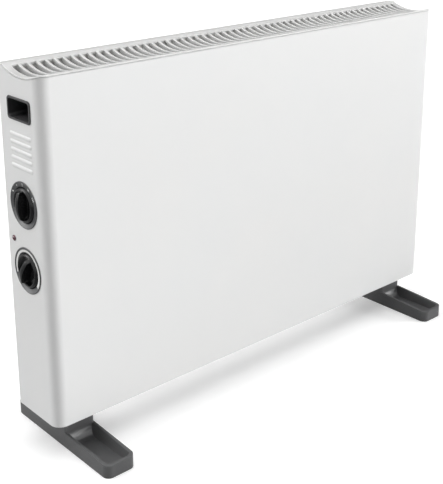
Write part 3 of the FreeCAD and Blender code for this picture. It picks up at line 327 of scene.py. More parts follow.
@dataclass(frozen=True)
class Finish:
    """A surface finish: its colour drifts slowly, and its grain gives bump and gloss."""

    name: str
    color: Color
    drift_color: Color
    smoothest: float
    roughest: float
    grain: Grain
    grain_scale: float
    grain_height: float
    drift_scale: float = 8.0
    metallic: float = 0.0
    specular: float = 0.5
    coat: float = 0.0
    dust: float = 0.0

    def build(self) -> bpy.types.Material:
        """Make the material, or give back the one that was made before.

        Returns:
            The material.
        """
        made = bpy.data.materials.get(self.name)
        if made is not None:
            return made
        material = bpy.data.materials.new(self.name)
        material.use_nodes = True
        material.diffuse_color = (*self.color, 1.0)
        graph = Graph(material.node_tree)
        surface = graph.add("ShaderNodeBsdfPrincipled")
        graph.add("ShaderNodeOutputMaterial", {"Surface": surface.outputs[0]})
        drift = EFFECTS.tone_drift(graph, self.drift_scale)
        color = graph.blend(drift, self.color, self.drift_color)
        if self.dust > 0.0:
            color = graph.blend(EFFECTS.settled_dust(graph, self.dust), color, DUST_COLOR)
        height = EFFECTS.grain(graph, self.grain, self.grain_scale)
        shine = graph.combine("MULTIPLY", drift, height)
        bump = graph.add("ShaderNodeBump", {"Height": height, "Distance": self.grain_height})
        self.dress_surface(graph, surface, color, graph.ramp(shine, self.smoothest, self.roughest))
        graph.tree.links.new(bump.outputs["Normal"], surface.inputs["Normal"])
        return material

    def dress_surface(self, graph: Graph, surface: bpy.types.Node, color: bpy.types.NodeSocket,
                      roughness: bpy.types.NodeSocket) -> None:
        """Join the varying values to the shader and set its plain ones.

        Args:
            graph: the material's graph.
            surface: the shader node.
            color: varying base colour.
            roughness: varying roughness.
        """
        graph.tree.links.new(color, surface.inputs["Base Color"])
        graph.tree.links.new(roughness, surface.inputs["Roughness"])
        surface.inputs["Metallic"].default_value = self.metallic
        surface.inputs["Specular IOR Level"].default_value = self.specular
        surface.inputs["Coat Weight"].default_value = self.coat


@dataclass(frozen=True)
class Translucent(Finish):
    """A moulding that lets some light through."""

    share: float = 0.4
    reach: float = 0.15 * MM
    reach_color: Color = (1.0, 1.0, 1.0)

    def dress_surface(self, graph: Graph, surface: bpy.types.Node, color: bpy.types.NodeSocket,
                      roughness: bpy.types.NodeSocket) -> None:
        """Let some light spread below the surface.

        Args:
            graph: the material's graph.
            surface: the shader node.
            color: varying base colour.
            roughness: varying roughness.
        """
        super().dress_surface(graph, surface, color, roughness)
        surface.inputs["Subsurface Weight"].default_value = self.share
        surface.inputs["Subsurface Radius"].default_value = self.reach_color
        surface.inputs["Subsurface Scale"].default_value = self.reach


@dataclass(frozen=True)
class StudioFloor(Finish):
    """The pale floor: a light table that lights the heater more weakly than it shows."""

    glow_seen: Color = (0.2, 0.2, 0.2)
    glow_cast: Color = (0.05, 0.05, 0.05)
    color_cast: Color = (0.62, 0.62, 0.62)

    def dress_surface(self, graph: Graph, surface: bpy.types.Node, color: bpy.types.NodeSocket,
                      roughness: bpy.types.NodeSocket) -> None:
        """Add the even glow and the weaker light that the floor sends back.

        Args:
            graph: the material's graph.
            surface: the shader node.
            color: varying base colour.
            roughness: varying roughness.
        """
        seen = graph.add("ShaderNodeLightPath").outputs["Is Camera Ray"]
        super().dress_surface(graph, surface, graph.blend(seen, self.color_cast, color), roughness)
        glow = graph.blend(seen, self.glow_cast, self.glow_seen)
        graph.tree.links.new(glow, surface.inputs["Emission Color"])
        surface.inputs["Emission Strength"].default_value = 1.0


WHITE_PAINT = Finish(
    "white_powder_coat", color=(0.70, 0.70, 0.695), drift_color=(0.68, 0.685, 0.685),
    smoothest=0.34, roughest=0.46, grain=Grain.ORANGE_PEEL, grain_scale=480.0, grain_height=0.012 * MM,
    coat=0.08,
)
WHITE_PLASTIC = Translucent(
    "white_moulded_plastic", color=(0.60, 0.60, 0.595), drift_color=(0.58, 0.58, 0.575), drift_scale=12.0,
    smoothest=0.36, roughest=0.50, grain=Grain.SPARK, grain_scale=1400.0, grain_height=0.008 * MM,
    share=0.85, reach=6.0 * MM,
)
DARK_PLASTIC = Finish(
    "dark_grained_plastic", color=(0.034, 0.035, 0.037), drift_color=(0.044, 0.045, 0.047), drift_scale=22.0,
    smoothest=0.36, roughest=0.56, grain=Grain.SPARK, grain_scale=1300.0, grain_height=0.03 * MM,
    dust=0.03,
)
FOOT_PLASTIC = Finish(
    "foot_grained_plastic", color=(0.058, 0.0585, 0.06), drift_color=(0.066, 0.0665, 0.068), drift_scale=22.0,
    smoothest=0.36, roughest=0.54, grain=Grain.SPARK, grain_scale=1300.0, grain_height=0.03 * MM,
)
GRIP_PLASTIC = Finish(
    "grip_grained_plastic", color=(0.016, 0.016, 0.017), drift_color=(0.022, 0.022, 0.023), drift_scale=22.0,
    smoothest=0.4, roughest=0.6, grain=Grain.SPARK, grain_scale=1300.0, grain_height=0.03 * MM,
    specular=0.3,
)
BLACK_GLOSS = Finish(
    "black_gloss_plastic", color=(0.003, 0.003, 0.0033), drift_color=(0.005, 0.005, 0.0054), drift_scale=60.0,
    smoothest=0.2, roughest=0.34, grain=Grain.SPARK, grain_scale=900.0, grain_height=0.004 * MM,
    specular=0.15,
)
RED_LENS = Translucent(
    "tinted_red_lens", color=(0.085, 0.01, 0.026), drift_color=(0.06, 0.007, 0.018), drift_scale=160.0,
    smoothest=0.12, roughest=0.25, grain=Grain.SPARK, grain_scale=800.0, grain_height=0.003 * MM,
    reach_color=(1.0, 0.13, 0.13),
)
WHITE_INK = Finish(
    "white_print", color=(0.78, 0.78, 0.77), drift_color=(0.7, 0.7, 0.69), drift_scale=90.0,
    smoothest=0.4, roughest=0.6, grain=Grain.SPARK, grain_scale=1800.0, grain_height=0.006 * MM,
)
INLET_PLASTIC = Finish(
    "moulded_inlet_plastic", color=(0.03, 0.03, 0.031), drift_color=(0.04, 0.04, 0.041), drift_scale=60.0,
    smoothest=0.42, roughest=0.6, grain=Grain.SPARK, grain_scale=1500.0, grain_height=0.02 * MM,
)
ZINC_STEEL = Finish(
    "zinc_plated_steel", color=(0.62, 0.63, 0.65), drift_color=(0.55, 0.56, 0.57), drift_scale=120.0,
    smoothest=0.26, roughest=0.46, grain=Grain.DRAWN, grain_scale=1100.0, grain_height=0.006 * MM,
    metallic=1.0,
)
GALVANISED = Finish(
    "galvanised_sheet", color=(0.56, 0.58, 0.6), drift_color=(0.48, 0.5, 0.52), drift_scale=30.0,
    smoothest=0.34, roughest=0.58, grain=Grain.SPANGLE, grain_scale=150.0, grain_height=0.004 * MM,
    metallic=1.0, dust=0.15,
)
ALUMINIUM = Finish(
    "extruded_aluminium", color=(0.74, 0.75, 0.76), drift_color=(0.66, 0.67, 0.68), drift_scale=24.0,
    smoothest=0.3, roughest=0.5, grain=Grain.DRAWN, grain_scale=900.0, grain_height=0.01 * MM,
    metallic=1.0,
)
CERAMIC = Finish(
    "fired_ceramic", color=(0.8, 0.77, 0.7), drift_color=(0.72, 0.69, 0.62), drift_scale=140.0,
    smoothest=0.4, roughest=0.62, grain=Grain.SPARK, grain_scale=1200.0, grain_height=0.02 * MM,
)
BRASS = Finish(
    "plain_brass", color=(0.7, 0.5, 0.22), drift_color=(0.6, 0.42, 0.18), drift_scale=150.0,
    smoothest=0.26, roughest=0.44, grain=Grain.DRAWN, grain_scale=1200.0, grain_height=0.005 * MM,
    metallic=1.0,
)
PHENOLIC = Finish(
    "moulded_phenolic", color=(0.05, 0.04, 0.035), drift_color=(0.07, 0.055, 0.045), drift_scale=90.0,
    smoothest=0.3, roughest=0.5, grain=Grain.SPARK, grain_scale=1000.0, grain_height=0.01 * MM,
)
NYLON = Finish(
    "natural_nylon", color=(0.72, 0.7, 0.64), drift_color=(0.66, 0.64, 0.58), drift_scale=80.0,
    smoothest=0.4, roughest=0.58, grain=Grain.SPARK, grain_scale=1200.0, grain_height=0.01 * MM,
)
RUBBER = Finish(
    "black_rubber", color=(0.03, 0.03, 0.03), drift_color=(0.042, 0.042, 0.042), drift_scale=120.0,
    smoothest=0.6, roughest=0.8, grain=Grain.SPARK, grain_scale=1600.0, grain_height=0.03 * MM,
)
BROWN_WIRE = Finish(
    "brown_insulation", color=(0.16, 0.06, 0.025), drift_color=(0.13, 0.05, 0.02), drift_scale=70.0,
    smoothest=0.36, roughest=0.52, grain=Grain.DRAWN, grain_scale=700.0, grain_height=0.01 * MM,
)
BLUE_WIRE = Finish(
    "blue_insulation", color=(0.03, 0.09, 0.33), drift_color=(0.025, 0.075, 0.27), drift_scale=70.0,
    smoothest=0.36, roughest=0.52, grain=Grain.DRAWN, grain_scale=700.0, grain_height=0.01 * MM,
)
GREEN_WIRE = Finish(
    "green_insulation", color=(0.1, 0.3, 0.05), drift_color=(0.3, 0.36, 0.04), drift_scale=70.0,
    smoothest=0.36, roughest=0.52, grain=Grain.DRAWN, grain_scale=700.0, grain_height=0.01 * MM,
)
PALE_FLOOR = StudioFloor(
    "pale_floor", color=(0.95, 0.95, 0.95), drift_color=(0.93, 0.93, 0.93), drift_scale=1.5,
    smoothest=0.7, roughest=0.9, grain=Grain.SPARK, grain_scale=300.0, grain_height=0.01 * MM,
)


class Workshop:
    """Turns shapes into pieces of the heater and dresses the frame's own nodes."""

    @staticmethod
    def dress(node: str, finish: Finish) -> bpy.types.Object:
        """Give a node of the frame its finish.

        Args:
            node: name of the node.
            finish: its finish.

        Returns:
            The node's object.
        """
        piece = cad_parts[node]
        piece.data.materials.clear()
        piece.data.materials.append(finish.build())
        LOG.info("dressed %s with %s", node, finish.name)
        return piece

    @staticmethod
    def dress_all(finishes: dict[Finish, Sequence[str]]) -> None:
        """Give many nodes of the frame their finishes.

        Args:
            finishes: the nodes that each finish is for.
        """
        for finish, nodes in finishes.items():
            for node in nodes:
                Workshop.dress(node, finish)

    @staticmethod
    def piece(name: str, mesh: bmesh.types.BMesh, finish: Finish, slot: str, body: str = HEATER,
              stands_for: Sequence[str] = ()) -> None:
        """Make a new piece that rides on a body of the frame.

        Args:
            name: name of the piece.
            mesh: its shape, which is used up.
            finish: its finish.
            slot: name of a material slot; not used.
            body: body that it rides on.
            stands_for: nodes of the frame that it replaces.
        """
        bmesh.ops.recalc_face_normals(mesh, faces=mesh.faces)
        data = bpy.data.meshes.new(name)
        mesh.to_mesh(data)
        mesh.free()
        data.shade_smooth()
        data.set_sharp_from_angle(angle=SHARP_ANGLE)
        data.materials.append(finish.build())
        made = bpy.data.objects.new(name, data)
        bpy.context.scene.collection.objects.link(made)
        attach(made, body)
        if stands_for:
            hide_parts(*stands_for)
        LOG.info("made %s with %s, %d faces", name, finish.name, len(data.polygons))

    @staticmethod
    def soften(piece: bpy.types.Object, width: float, segments: int = 2) -> None:
        """Round the sharp edges of a node as shown, and leave its own mesh as it is.

        Args:
            piece: the node's object.
            width: how far the rounding reaches from an edge.
            segments: steps across the rounding.
        """
        weld = piece.modifiers.new("join_corners", "WELD")
        weld.merge_threshold = WELD_REACH
        merge = piece.modifiers.new("merge_flats", "DECIMATE")
        merge.decimate_type = "DISSOLVE"
        merge.angle_limit = FLAT_ANGLE
        rounding = piece.modifiers.new("round_edges", "BEVEL")
        rounding.width = width
        rounding.segments = segments
        rounding.limit_method = "ANGLE"
        rounding.angle_limit = SHARP_ANGLE
        rounding.harden_normals = True

    @staticmethod
    def join_loops(mesh: bmesh.types.BMesh, first: Sequence[bmesh.types.BMVert],
                   second: Sequence[bmesh.types.BMVert]) -> None:
        """Join two closed loops of corners by a band of faces.

        Args:
            mesh: mesh that gets the band.
            first: corners of one loop, in order.
            second: corners of the other, as many and in the same order.
        """
        for index in range(len(first)):
            after = (index + 1) % len(first)
            mesh.faces.new((first[index], first[after], second[after], second[index]))

    @staticmethod
    def plate(mesh: bmesh.types.BMesh, outline: Sequence[Vector], thickness: Vector) -> None:
        """Add a flat plate to a mesh.

        Args:
            mesh: the mesh that gets the plate.
            outline: corners of its lower face, in order.
            thickness: the way from the lower face to the upper one.
        """
        low = [mesh.verts.new(corner) for corner in outline]
        high = [mesh.verts.new(corner + thickness) for corner in outline]
        mesh.faces.new(low)
        mesh.faces.new(list(reversed(high)))
        Workshop.join_loops(mesh, low, high)


@dataclass
class Case:
    """White sheet case: front and sides in one, rear panel and bottom plate."""

    def build(self) -> None:
        """Dress the sheets."""
        Workshop.dress_all({WHITE_PAINT: ("front_casing", "rear_panel", "bottom_plate")})


@dataclass
class TopGrille:
    """White slotted top with its hollow trough."""

    edge_round: float = 0.5 * MM

    def build(self) -> None:
        """Dress the moulding."""
        Workshop.soften(Workshop.dress("top_grille", WHITE_PLASTIC), self.edge_round)


@dataclass
class HandGrips:
    """Dark finger recesses in the two sides."""

    edge_round: float = 0.3 * MM

    def build(self) -> None:
        """Dress the cups."""
        for node in ("left_grip_cup", "right_grip_cup"):
            Workshop.soften(Workshop.dress(node, GRIP_PLASTIC), self.edge_round)


@dataclass
class TrayFeet:
    """Dark tray feet with a riser up to the case."""

    edge_round: float = 0.9 * MM
    edge_steps: int = 3

    def build(self) -> None:
        """Dress the mouldings."""
        for node in ("left_foot", "right_foot"):
            Workshop.soften(Workshop.dress(node, FOOT_PLASTIC), self.edge_round, self.edge_steps)


@dataclass
class Dial:
    """Places on one dial's dished face, seen from the left."""

    node: str
    rim: float = 0.9 * MM
    bore: float = 19.2 * MM
    shallow: float = 0.15 * MM
    deep: float = 0.8 * MM

    def __post_init__(self) -> None:
        """Read the dial's place from its node."""
        low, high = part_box(self.node)
        self.face_x = low.x
        self.center_y = (low.y + high.y) / 2
        self.center_z = (low.z + high.z) / 2
        self.radius = (high.z - low.z) / 2

    def at(self, radius: float, clock: float) -> Vector:
        """Point on the face.

        Args:
            radius: distance from the dial's middle.
            clock: angle from the top in degrees, clockwise.

        Returns:
            The point.
        """
        angle = math.radians(clock)
        return Vector((self.face_x, self.center_y - radius * math.sin(angle),
                       self.center_z + radius * math.cos(angle)))

    def depth(self, radius: float) -> float:
        """Depth of the dish at a radius."""
        share = (self.radius - self.rim - radius) / (self.radius - self.rim - self.bore)
        return self.shallow + (self.deep - self.shallow) * min(max(share, 0.0), 1.0)

    def press(self, spot: Vector) -> Vector:
        """The place on the dish straight behind a point that is level with the rim."""
        radius = math.hypot(spot.y - self.center_y, spot.z - self.center_z)
        return spot + Vector((self.depth(radius), 0.0, 0.0))


@dataclass
class DialRing:
    """Turned ring and cup that carries one knob."""

    node: str
    name: str
    wall: float = 1.4 * MM
    flange: float = 1.0 * MM
    floor: float = 1.5 * MM
    spindle_hole: float = 3.3 * MM
    edge_round: float = 0.45 * MM
    edge_steps: int = 3
    lip: float = 0.3 * MM
    segments: int = 144

    def profile(self, dial: Dial, depth: float) -> list[RadiusAndDepth]:
        """Half section of the ring.

        Args:
            dial: the dial that it makes.
            depth: how far the cup reaches into the case.

        Returns:
            Radius and depth of each corner, round the section.
        """
        outer = dial.radius
        cup = dial.bore + self.wall
        edge = self.edge_round
        dish_outer = outer - dial.rim - dial.shallow
        dish_inner = dial.bore + self.lip
        corners = [(self.spindle_hole, depth), (cup, depth), (cup, self.flange), (outer, self.flange)]
        for step in range(self.edge_steps + 1):
            turn = math.radians(QUARTER_TURN * step / self.edge_steps)
            corners.append((outer - edge + edge * math.cos(turn), edge - edge * math.sin(turn)))
        corners += [
            (outer - dial.rim, 0.0), (dish_outer, dial.depth(dish_outer)),
            (dish_inner, dial.depth(dish_inner)), (dial.bore, dial.deep + self.lip),
            (dial.bore, depth - self.floor), (self.spindle_hole, depth - self.floor)]
        return corners

    def build(self) -> None:
        """Turn the section about the dial's axis."""
        low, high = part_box(self.node)
        dial = Dial(self.node)
        mesh = bmesh.new()
        loops = []
        for radius, depth in self.profile(dial, high.x - low.x):
            inward = Vector((depth, 0.0, 0.0))
            loops.append([mesh.verts.new(dial.at(radius, FULL_TURN * step / self.segments) + inward)
                          for step in range(self.segments)])
        for first, second in zip(loops, loops[1:] + loops[:1]):
            Workshop.join_loops(mesh, first, second)
        Workshop.piece(self.name, mesh, DARK_PLASTIC, "dark_plastic", stands_for=[self.node])


@dataclass
class GripKnob:
    """Low round knob with a bowed grip blade between two finger hollows."""

    node: str
    name: str
    body: str
    clock: float
    face_radius: float = 16.4 * MM
    face_rise: float = 2.4 * MM
    hollow_depth: float = 4.4 * MM
    edge_round: float = 0.6 * MM
    skirt_lean: float = 0.4
    crown: float = 0.35 * MM
    blade_edge: float = 0.167
    blade_foot: float = 0.2
    hollow_start: float = 0.64
    hollow_end: float = 0.93
    blade_end: float = 0.86
    bow_drop: float = 0.6
    across_steps: int = 72
    along_steps: int = 56

    @staticmethod
    def swell(value: float, start: float, end: float) -> float:
        """Smooth step from 0 at the start to 1 at the end."""
        share = min(max((value - start) / (end - start), 0.0), 1.0)
        return share * share * (3.0 - 2.0 * share)

    def height(self, across: float, along: float, blade_rise: float) -> float:
        """Height of the knob's top over the side of the case.

        Args:
            across: place across the blade, from -1 to 1.
            along: place along the blade, from -1 to 1.
            blade_rise: height of the blade's crest.

        Returns:
            The height.
        """
        aside = abs(across)
        outside = self.swell(aside, self.blade_edge, self.blade_foot)
        bow = (1.0 - self.bow_drop * along * along) * (1.0 - self.swell(abs(along), self.blade_end, 1.0))
        rounding = self.crown * (min(aside, self.blade_edge) / self.blade_edge) ** 2
        crest = blade_rise - self.face_rise - rounding
        hollow = outside * (1.0 - self.swell(aside, self.hollow_start, self.hollow_end))
        hollow *= 1.0 - self.swell(abs(along), self.hollow_start, self.hollow_end)
        return self.face_rise + crest * bow * (1.0 - outside) - self.hollow_depth * hollow

    def spread(self, ring: Dial, across: float, along: float) -> Vector:
        """Carry a place on a square over to the knob's round face.

        Args:
            ring: the dial that the knob turns in.
            across: place across the blade, from -1 to 1.
            along: place along the blade, from -1 to 1.

        Returns:
            The place on the face, level with the ring.
        """
        right = self.face_radius * across * math.sqrt(1.0 - along * along / 2.0)
        up = self.face_radius * along * math.sqrt(1.0 - across * across / 2.0)
        return ring.at(up, self.clock) + ring.at(right, self.clock + QUARTER_TURN) - ring.at(0.0, 0.0)

    def sculpt_face(self, mesh: bmesh.types.BMesh, ring: Dial, side_x: float,
                    blade_rise: float) -> list[bmesh.types.BMVert]:
        """Sculpt the blade and the hollows.

        Args:
            mesh: the knob's mesh.
            ring: the dial that the knob turns in.
            side_x: place of the case's left side.
            blade_rise: height of the blade's crest over that side.

        Returns:
            The corners of the face's rim, in order.
        """
        rows = []
        for row in range(self.along_steps + 1):
            along = 2.0 * row / self.along_steps - 1.0
            line = []
            for column in range(self.across_steps + 1):
                across = 2.0 * column / self.across_steps - 1.0
                spot = self.spread(ring, across, along)
                spot.x = side_x - self.height(across, along, blade_rise)
                line.append(mesh.verts.new(spot))
            rows.append(line)
        for under, over in zip(rows, rows[1:]):
            for column in range(self.across_steps):
                mesh.faces.new((under[column], under[column + 1], over[column + 1], over[column]))
        rim = rows[0] + [line[-1] for line in rows[1:-1]]
        return rim + rows[-1][::-1] + [line[0] for line in rows[-2:0:-1]]

    def build(self) -> None:
        """Sculpt the face, add the skirt and close the back."""
        low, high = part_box(self.node)
        ring = Dial(self.node)
        side_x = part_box("top_grille")[0].x
        mesh = bmesh.new()
        loop = self.sculpt_face(mesh, ring, side_x, side_x - low.x)
        lean = self.edge_round * self.skirt_lean
        for radius, rise in ((self.face_radius + self.edge_round, self.face_rise - lean),
                             (ring.radius - lean, self.edge_round - lean),
                             (ring.radius, -self.edge_round), (ring.radius, side_x - high.x)):
            loop = self.add_skirt_loop(mesh, loop, ring, radius, side_x - rise)
        mesh.faces.new(loop)
        Workshop.piece(self.name, mesh, BLACK_GLOSS, "black_plastic", self.body, [self.node])

    @staticmethod
    def add_skirt_loop(mesh: bmesh.types.BMesh, loop: list[bmesh.types.BMVert], ring: Dial, radius: float,
                       x: float) -> list[bmesh.types.BMVert]:
        """Carry the knob's rim on to a larger or deeper circle.

        Args:
            mesh: the knob's mesh.
            loop: the rim so far.
            ring: the dial that the knob turns in.
            radius: radius of the new circle.
            x: its place along the axis.

        Returns:
            The corners of the new circle.
        """
        middle = ring.at(0.0, 0.0)
        circle = []
        for corner in loop:
            away = Vector((0.0, corner.co.y - middle.y, corner.co.z - middle.z)).normalized()
            circle.append(mesh.verts.new(Vector((x, middle.y, middle.z)) + away * radius))
        Workshop.join_loops(mesh, loop, circle)
        return circle


@dataclass
class DialPrints:
    """White printing on the two dial faces."""

    ink: float = 0.12 * MM
    mark_radius: float = 21.7 * MM
    mark_height: float = 3.2 * MM
    mark_stroke: float = 0.9 * MM
    mark_step: float = 30.0
    small_spot: float = 0.7
    spot_corners: int = 16
    wedge_inner: float = 20.0 * MM
    wedge_thin: float = 21.8 * MM
    wedge_thick: float = 23.5 * MM
    wedge_start: float = -110.0
    wedge_end: float = 126.0
    wedge_steps: int = 72

    def build(self) -> None:
        """Print the heat marks and the thermostat's wedge."""
        self.print_heat_marks(Dial("heat_dial_cup"))
        self.print_wedge(Dial("thermostat_dial_cup"))

    def lay_ink(self, mesh: bmesh.types.BMesh, dial: Dial, corners: Sequence[Vector]) -> None:
        """Lay a patch of ink on a dial's dished face.

        Args:
            mesh: mesh that gets the patch.
            dial: dial that it lies on.
            corners: its outline, level with the dial's rim.
        """
        Workshop.plate(mesh, [dial.press(corner) for corner in corners], Vector((-self.ink, 0.0, 0.0)))

    def bar(self, mesh: bmesh.types.BMesh, dial: Dial, clock: float, offset: float) -> None:
        """Print one short radial bar.

        Args:
            mesh: mesh that gets the bar.
            dial: dial that it lies on.
            clock: its angle in degrees.
            offset: how far it lies to the side, clockwise.
        """
        radial = dial.at(1.0, clock) - dial.at(0.0, clock)
        side = dial.at(1.0, clock + QUARTER_TURN) - dial.at(0.0, clock)
        center = dial.at(self.mark_radius, clock) + side * offset
        reach = radial * self.mark_height / 2
        half = side * self.mark_stroke / 2
        corners = [center - reach - half, center - reach + half, center + reach + half, center + reach - half]
        self.lay_ink(mesh, dial, corners)

    def spot(self, mesh: bmesh.types.BMesh, dial: Dial, clock: float, radius: float) -> None:
        """Print one round spot.

        Args:
            mesh: mesh that gets the spot.
            dial: dial that it lies on.
            clock: its angle in degrees.
            radius: its radius.
        """
        center = dial.at(self.mark_radius, clock)
        turns = [FULL_TURN * corner / self.spot_corners for corner in range(self.spot_corners)]
        self.lay_ink(mesh, dial, [center + dial.at(radius, turn) - dial.at(0.0, 0.0) for turn in turns])

    def print_heat_marks(self, dial: Dial) -> None:
        """Print the five heat positions.

        Args:
            dial: the upper dial.
        """
        mesh = bmesh.new()
        self.spot(mesh, dial, -2 * self.mark_step, self.mark_stroke)
        self.spot(mesh, dial, -self.mark_step, self.mark_stroke * self.small_spot)
        self.bar(mesh, dial, 0.0, 0.0)
        self.bar(mesh, dial, self.mark_step, -self.mark_stroke)
        self.bar(mesh, dial, self.mark_step, self.mark_stroke)
        for offset in (-2 * self.mark_stroke, 0.0, 2 * self.mark_stroke):
            self.bar(mesh, dial, 2 * self.mark_step, offset)
        Workshop.piece("heat_dial_marks", mesh, WHITE_INK, "white_plastic")

    def print_wedge(self, dial: Dial) -> None:
        """Print the wedge that widens towards the warmest setting.

        Args:
            dial: the lower dial.
        """
        mesh = bmesh.new()
        ink = Vector((-self.ink, 0.0, 0.0))
        sections = []
        for step in range(self.wedge_steps + 1):
            share = step / self.wedge_steps
            clock = self.wedge_start + (self.wedge_end - self.wedge_start) * share
            inner = dial.press(dial.at(self.wedge_inner, clock))
            outer = dial.press(dial.at(self.wedge_thin + (self.wedge_thick - self.wedge_thin) * share, clock))
            sections.append([mesh.verts.new(corner) for corner in (inner, outer, outer + ink, inner + ink)])
        for first, second in zip(sections, sections[1:]):
            Workshop.join_loops(mesh, first, second)
        for end in (sections[0], sections[-1]):
            mesh.faces.new(end)
        Workshop.piece("thermostat_dial_wedge", mesh, WHITE_INK, "white_plastic")


@dataclass
class Controls:
    """Dial cups, knobs and their spindles."""

    heat_clock: float = 0.0
    thermostat_clock: float = 28.0

    def build(self) -> None:
        """Dress the cups and knobs and print the dials."""
        DialRing("heat_dial_cup", "heat_dial_ring").build()
        DialRing("thermostat_dial_cup", "thermostat_dial_ring").build()
        GripKnob("heat_knob", "heat_grip_knob", HEAT_CONTROL, self.heat_clock).build()
        GripKnob("thermostat_knob", "thermostat_grip_knob", THERMOSTAT_CONTROL, self.thermostat_clock).build()
        Workshop.dress_all({ZINC_STEEL: ("heat_spindle", "thermostat_spindle")})
        DialPrints().build()


@dataclass
class PilotLamp:
    """Red lamp and its holder."""

    def build(self) -> None:
        """Dress the lens and the holder."""
        Workshop.dress_all({RED_LENS: ["pilot_lens"], NYLON: ["pilot_holder"]})


@dataclass
class ControlBay:
    """Switch, thermostat, supply terminals and wires behind the left side."""

    def build(self) -> None:
        """Dress the parts."""
        Workshop.dress_all({
            PHENOLIC: ["heat_switch"],
            BRASS: ("heat_switch_terminals", "contact_blade", "cutout_terminals", "terminal_screws",
                    "earth_lug"),
            ZINC_STEEL: ("heat_switch_screws", "thermostat_frame", "bimetal_blade", "thermostat_rivet",
                         "thermostat_screws", "thermal_cutout", "cutout_rivets", "earth_stud", "earth_nuts"),
            CERAMIC: ["thermostat_spacers"],
            GALVANISED: ["bay_partition"],
            RUBBER: ["wire_grommet"],
            NYLON: ["terminal_block"],
            INLET_PLASTIC: ["cord_inlet"],
            BROWN_WIRE: ("live_wire", "switched_wire", "element_wires"),
            BLUE_WIRE: ("neutral_wire", "return_wire"),
            GREEN_WIRE: ["earth_wire"],
        })


@dataclass
class HeatingChamber:
    """Heating elements, their brackets and the baffle."""

    def build(self) -> None:
        """Dress the parts."""
        Workshop.dress_all({
            GALVANISED: ("left_element_bracket", "right_element_bracket", "rear_baffle"),
            ALUMINIUM: ("lower_heating_element", "upper_heating_element"),
            ZINC_STEEL: ("bracket_rivets", "baffle_rivets"),
            CERAMIC: ["element_bushes"],
            BRASS: ("element_pins", "neutral_strap"),
        })


@dataclass
class Fasteners:
    """Screws and nuts that hold the case together."""

    def build(self) -> None:
        """Dress the screws and nuts."""
        Workshop.dress_all({ZINC_STEEL: ("foot_screws", "foot_nuts", "rear_screws", "grille_screws")})


@dataclass(frozen=True)
class WideLight:
    """A distant, wide and even studio light."""

    name: str
    direction: Place
    spread: float
    brightness: float

    def build(self) -> None:
        """Hang the light, so that a white surface that faces it has the brightness given."""
        data = bpy.data.lights.new(self.name, "SUN")
        data.angle = math.radians(self.spread)
        data.energy = self.brightness * math.pi
        lamp = bpy.data.objects.new(self.name, data)
        lamp.rotation_euler = Vector(self.direction).to_track_quat("Z", "Y").to_euler()
        bpy.context.scene.collection.objects.link(lamp)


@dataclass(frozen=True)
class PhotoCamera:
    """Camera at the photograph's viewing angle."""

    eye: Place = (-0.7621, -0.8140, 0.6194)
    yaw: float = 41.51
    pitch: float = -16.83
    roll: float = -0.14
    focal_pixels: float = 988.1
    image_height: float = 484.0
    principal_row: float = 145.0
    sensor: float = 36.0
    reach: float = 200.0

    def build(self) -> None:
        """Make the camera and use it for the scene."""
        data = bpy.data.cameras.new("photo_camera")
        data.sensor_width = self.sensor
        data.lens = self.focal_pixels / self.image_height * self.sensor
        data.shift_y = (self.principal_row - self.image_height / 2) / self.image_height
        data.clip_end = self.reach
        camera = bpy.data.objects.new("photo_camera", data)
        yaw = math.radians(self.yaw)
        pitch = math.radians(self.pitch)
        ahead = Vector((math.sin(yaw) * math.cos(pitch), math.cos(yaw) * math.cos(pitch), math.sin(pitch)))
        level = Vector((math.cos(yaw), -math.sin(yaw), 0.0))
        upright = level.cross(ahead)
        roll = math.radians(self.roll)
        right = level * math.cos(roll) + upright * math.sin(roll)
        up = upright * math.cos(roll) - level * math.sin(roll)
        turn = Matrix((right, up, -ahead)).transposed()
        camera.matrix_world = Matrix.Translation(Vector(self.eye)) @ turn.to_4x4()
        bpy.context.scene.collection.objects.link(camera)
        bpy.context.scene.camera = camera


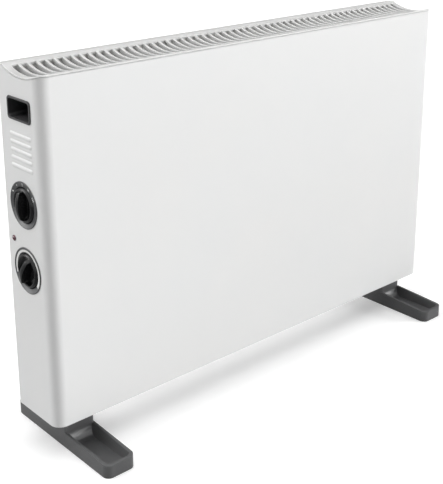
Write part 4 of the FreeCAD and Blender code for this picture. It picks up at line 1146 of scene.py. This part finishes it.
@dataclass
class Studio:
    """Pale floor, soft lights and the camera."""

    floor_reach: float = 30.0
    floor_gap: float = 0.2 * MM
    backdrop: float = 1.05
    fill: float = 0.04
    near_walls: float = 3.2
    far_walls: float = 0.1
    walls_from: float = 0.3
    walls_to: float = 0.9
    lights: tuple[WideLight, ...] = (
        WideLight("key_light", (0.74, -0.63, 0.2), spread=28.0, brightness=0.91),
        WideLight("rear_light", (-0.6, 0.62, 0.5), spread=30.0, brightness=0.55),
        WideLight("overhead_light", (0.0, 0.0, 1.0), spread=70.0, brightness=0.65),
    )

    def build(self) -> None:
        """Set up the studio around the heater."""
        self.lay_floor(CAD_BOX[0].z - self.floor_gap)
        for light in self.lights:
            light.build()
        self.light_room()
        PhotoCamera().build()

    def lay_floor(self, height: float) -> None:
        """Lay the floor.

        Args:
            height: its level.
        """
        mesh = bmesh.new()
        reach = self.floor_reach
        corners = [(-reach, -reach, height), (reach, -reach, height),
                   (reach, reach, height), (-reach, reach, height)]
        mesh.faces.new([mesh.verts.new(corner) for corner in corners])
        data = bpy.data.meshes.new("studio_floor")
        mesh.to_mesh(data)
        mesh.free()
        data.materials.append(PALE_FLOOR.build())
        floor = bpy.data.objects.new("studio_floor", data)
        bpy.context.scene.collection.objects.link(floor)

    def light_room(self) -> None:
        """Give the room a bright backdrop, a weak fill and pale near walls for glossy faces to reflect."""
        world = bpy.data.worlds.new("studio_room")
        world.use_nodes = True
        graph = Graph(world.node_tree)
        path = graph.add("ShaderNodeLightPath")
        way = graph.add("ShaderNodeTexCoord").outputs["Generated"]
        parts = graph.add("ShaderNodeSeparateXYZ", {0: way}).outputs
        away = graph.combine("ADD", parts["X"], parts["Y"])
        walls = graph.ramp(away, self.near_walls, self.far_walls, self.walls_from, self.walls_to)
        lit = graph.ramp(path.outputs["Is Glossy Ray"], self.fill, walls)
        level = graph.ramp(path.outputs["Is Camera Ray"], lit, self.backdrop)
        background = graph.add("ShaderNodeBackground", {"Color": WHITE_LIGHT, "Strength": level})
        graph.add("ShaderNodeOutputWorld", {"Surface": background.outputs[0]})
        bpy.context.scene.world = world
        bpy.context.scene.view_settings.view_transform = "Standard"


def main() -> None:
    """Build every sub-assembly and the studio, in order."""
    logging.basicConfig(level=logging.INFO, format="%(message)s")
    for part in (Case(), TopGrille(), HandGrips(), TrayFeet(), Controls(), PilotLamp(), ControlBay(),
                 HeatingChamber(), Fasteners(), Studio()):
        LOG.info("building %s", type(part).__name__)
        part.build()


if __name__ == "__main__":
    main()
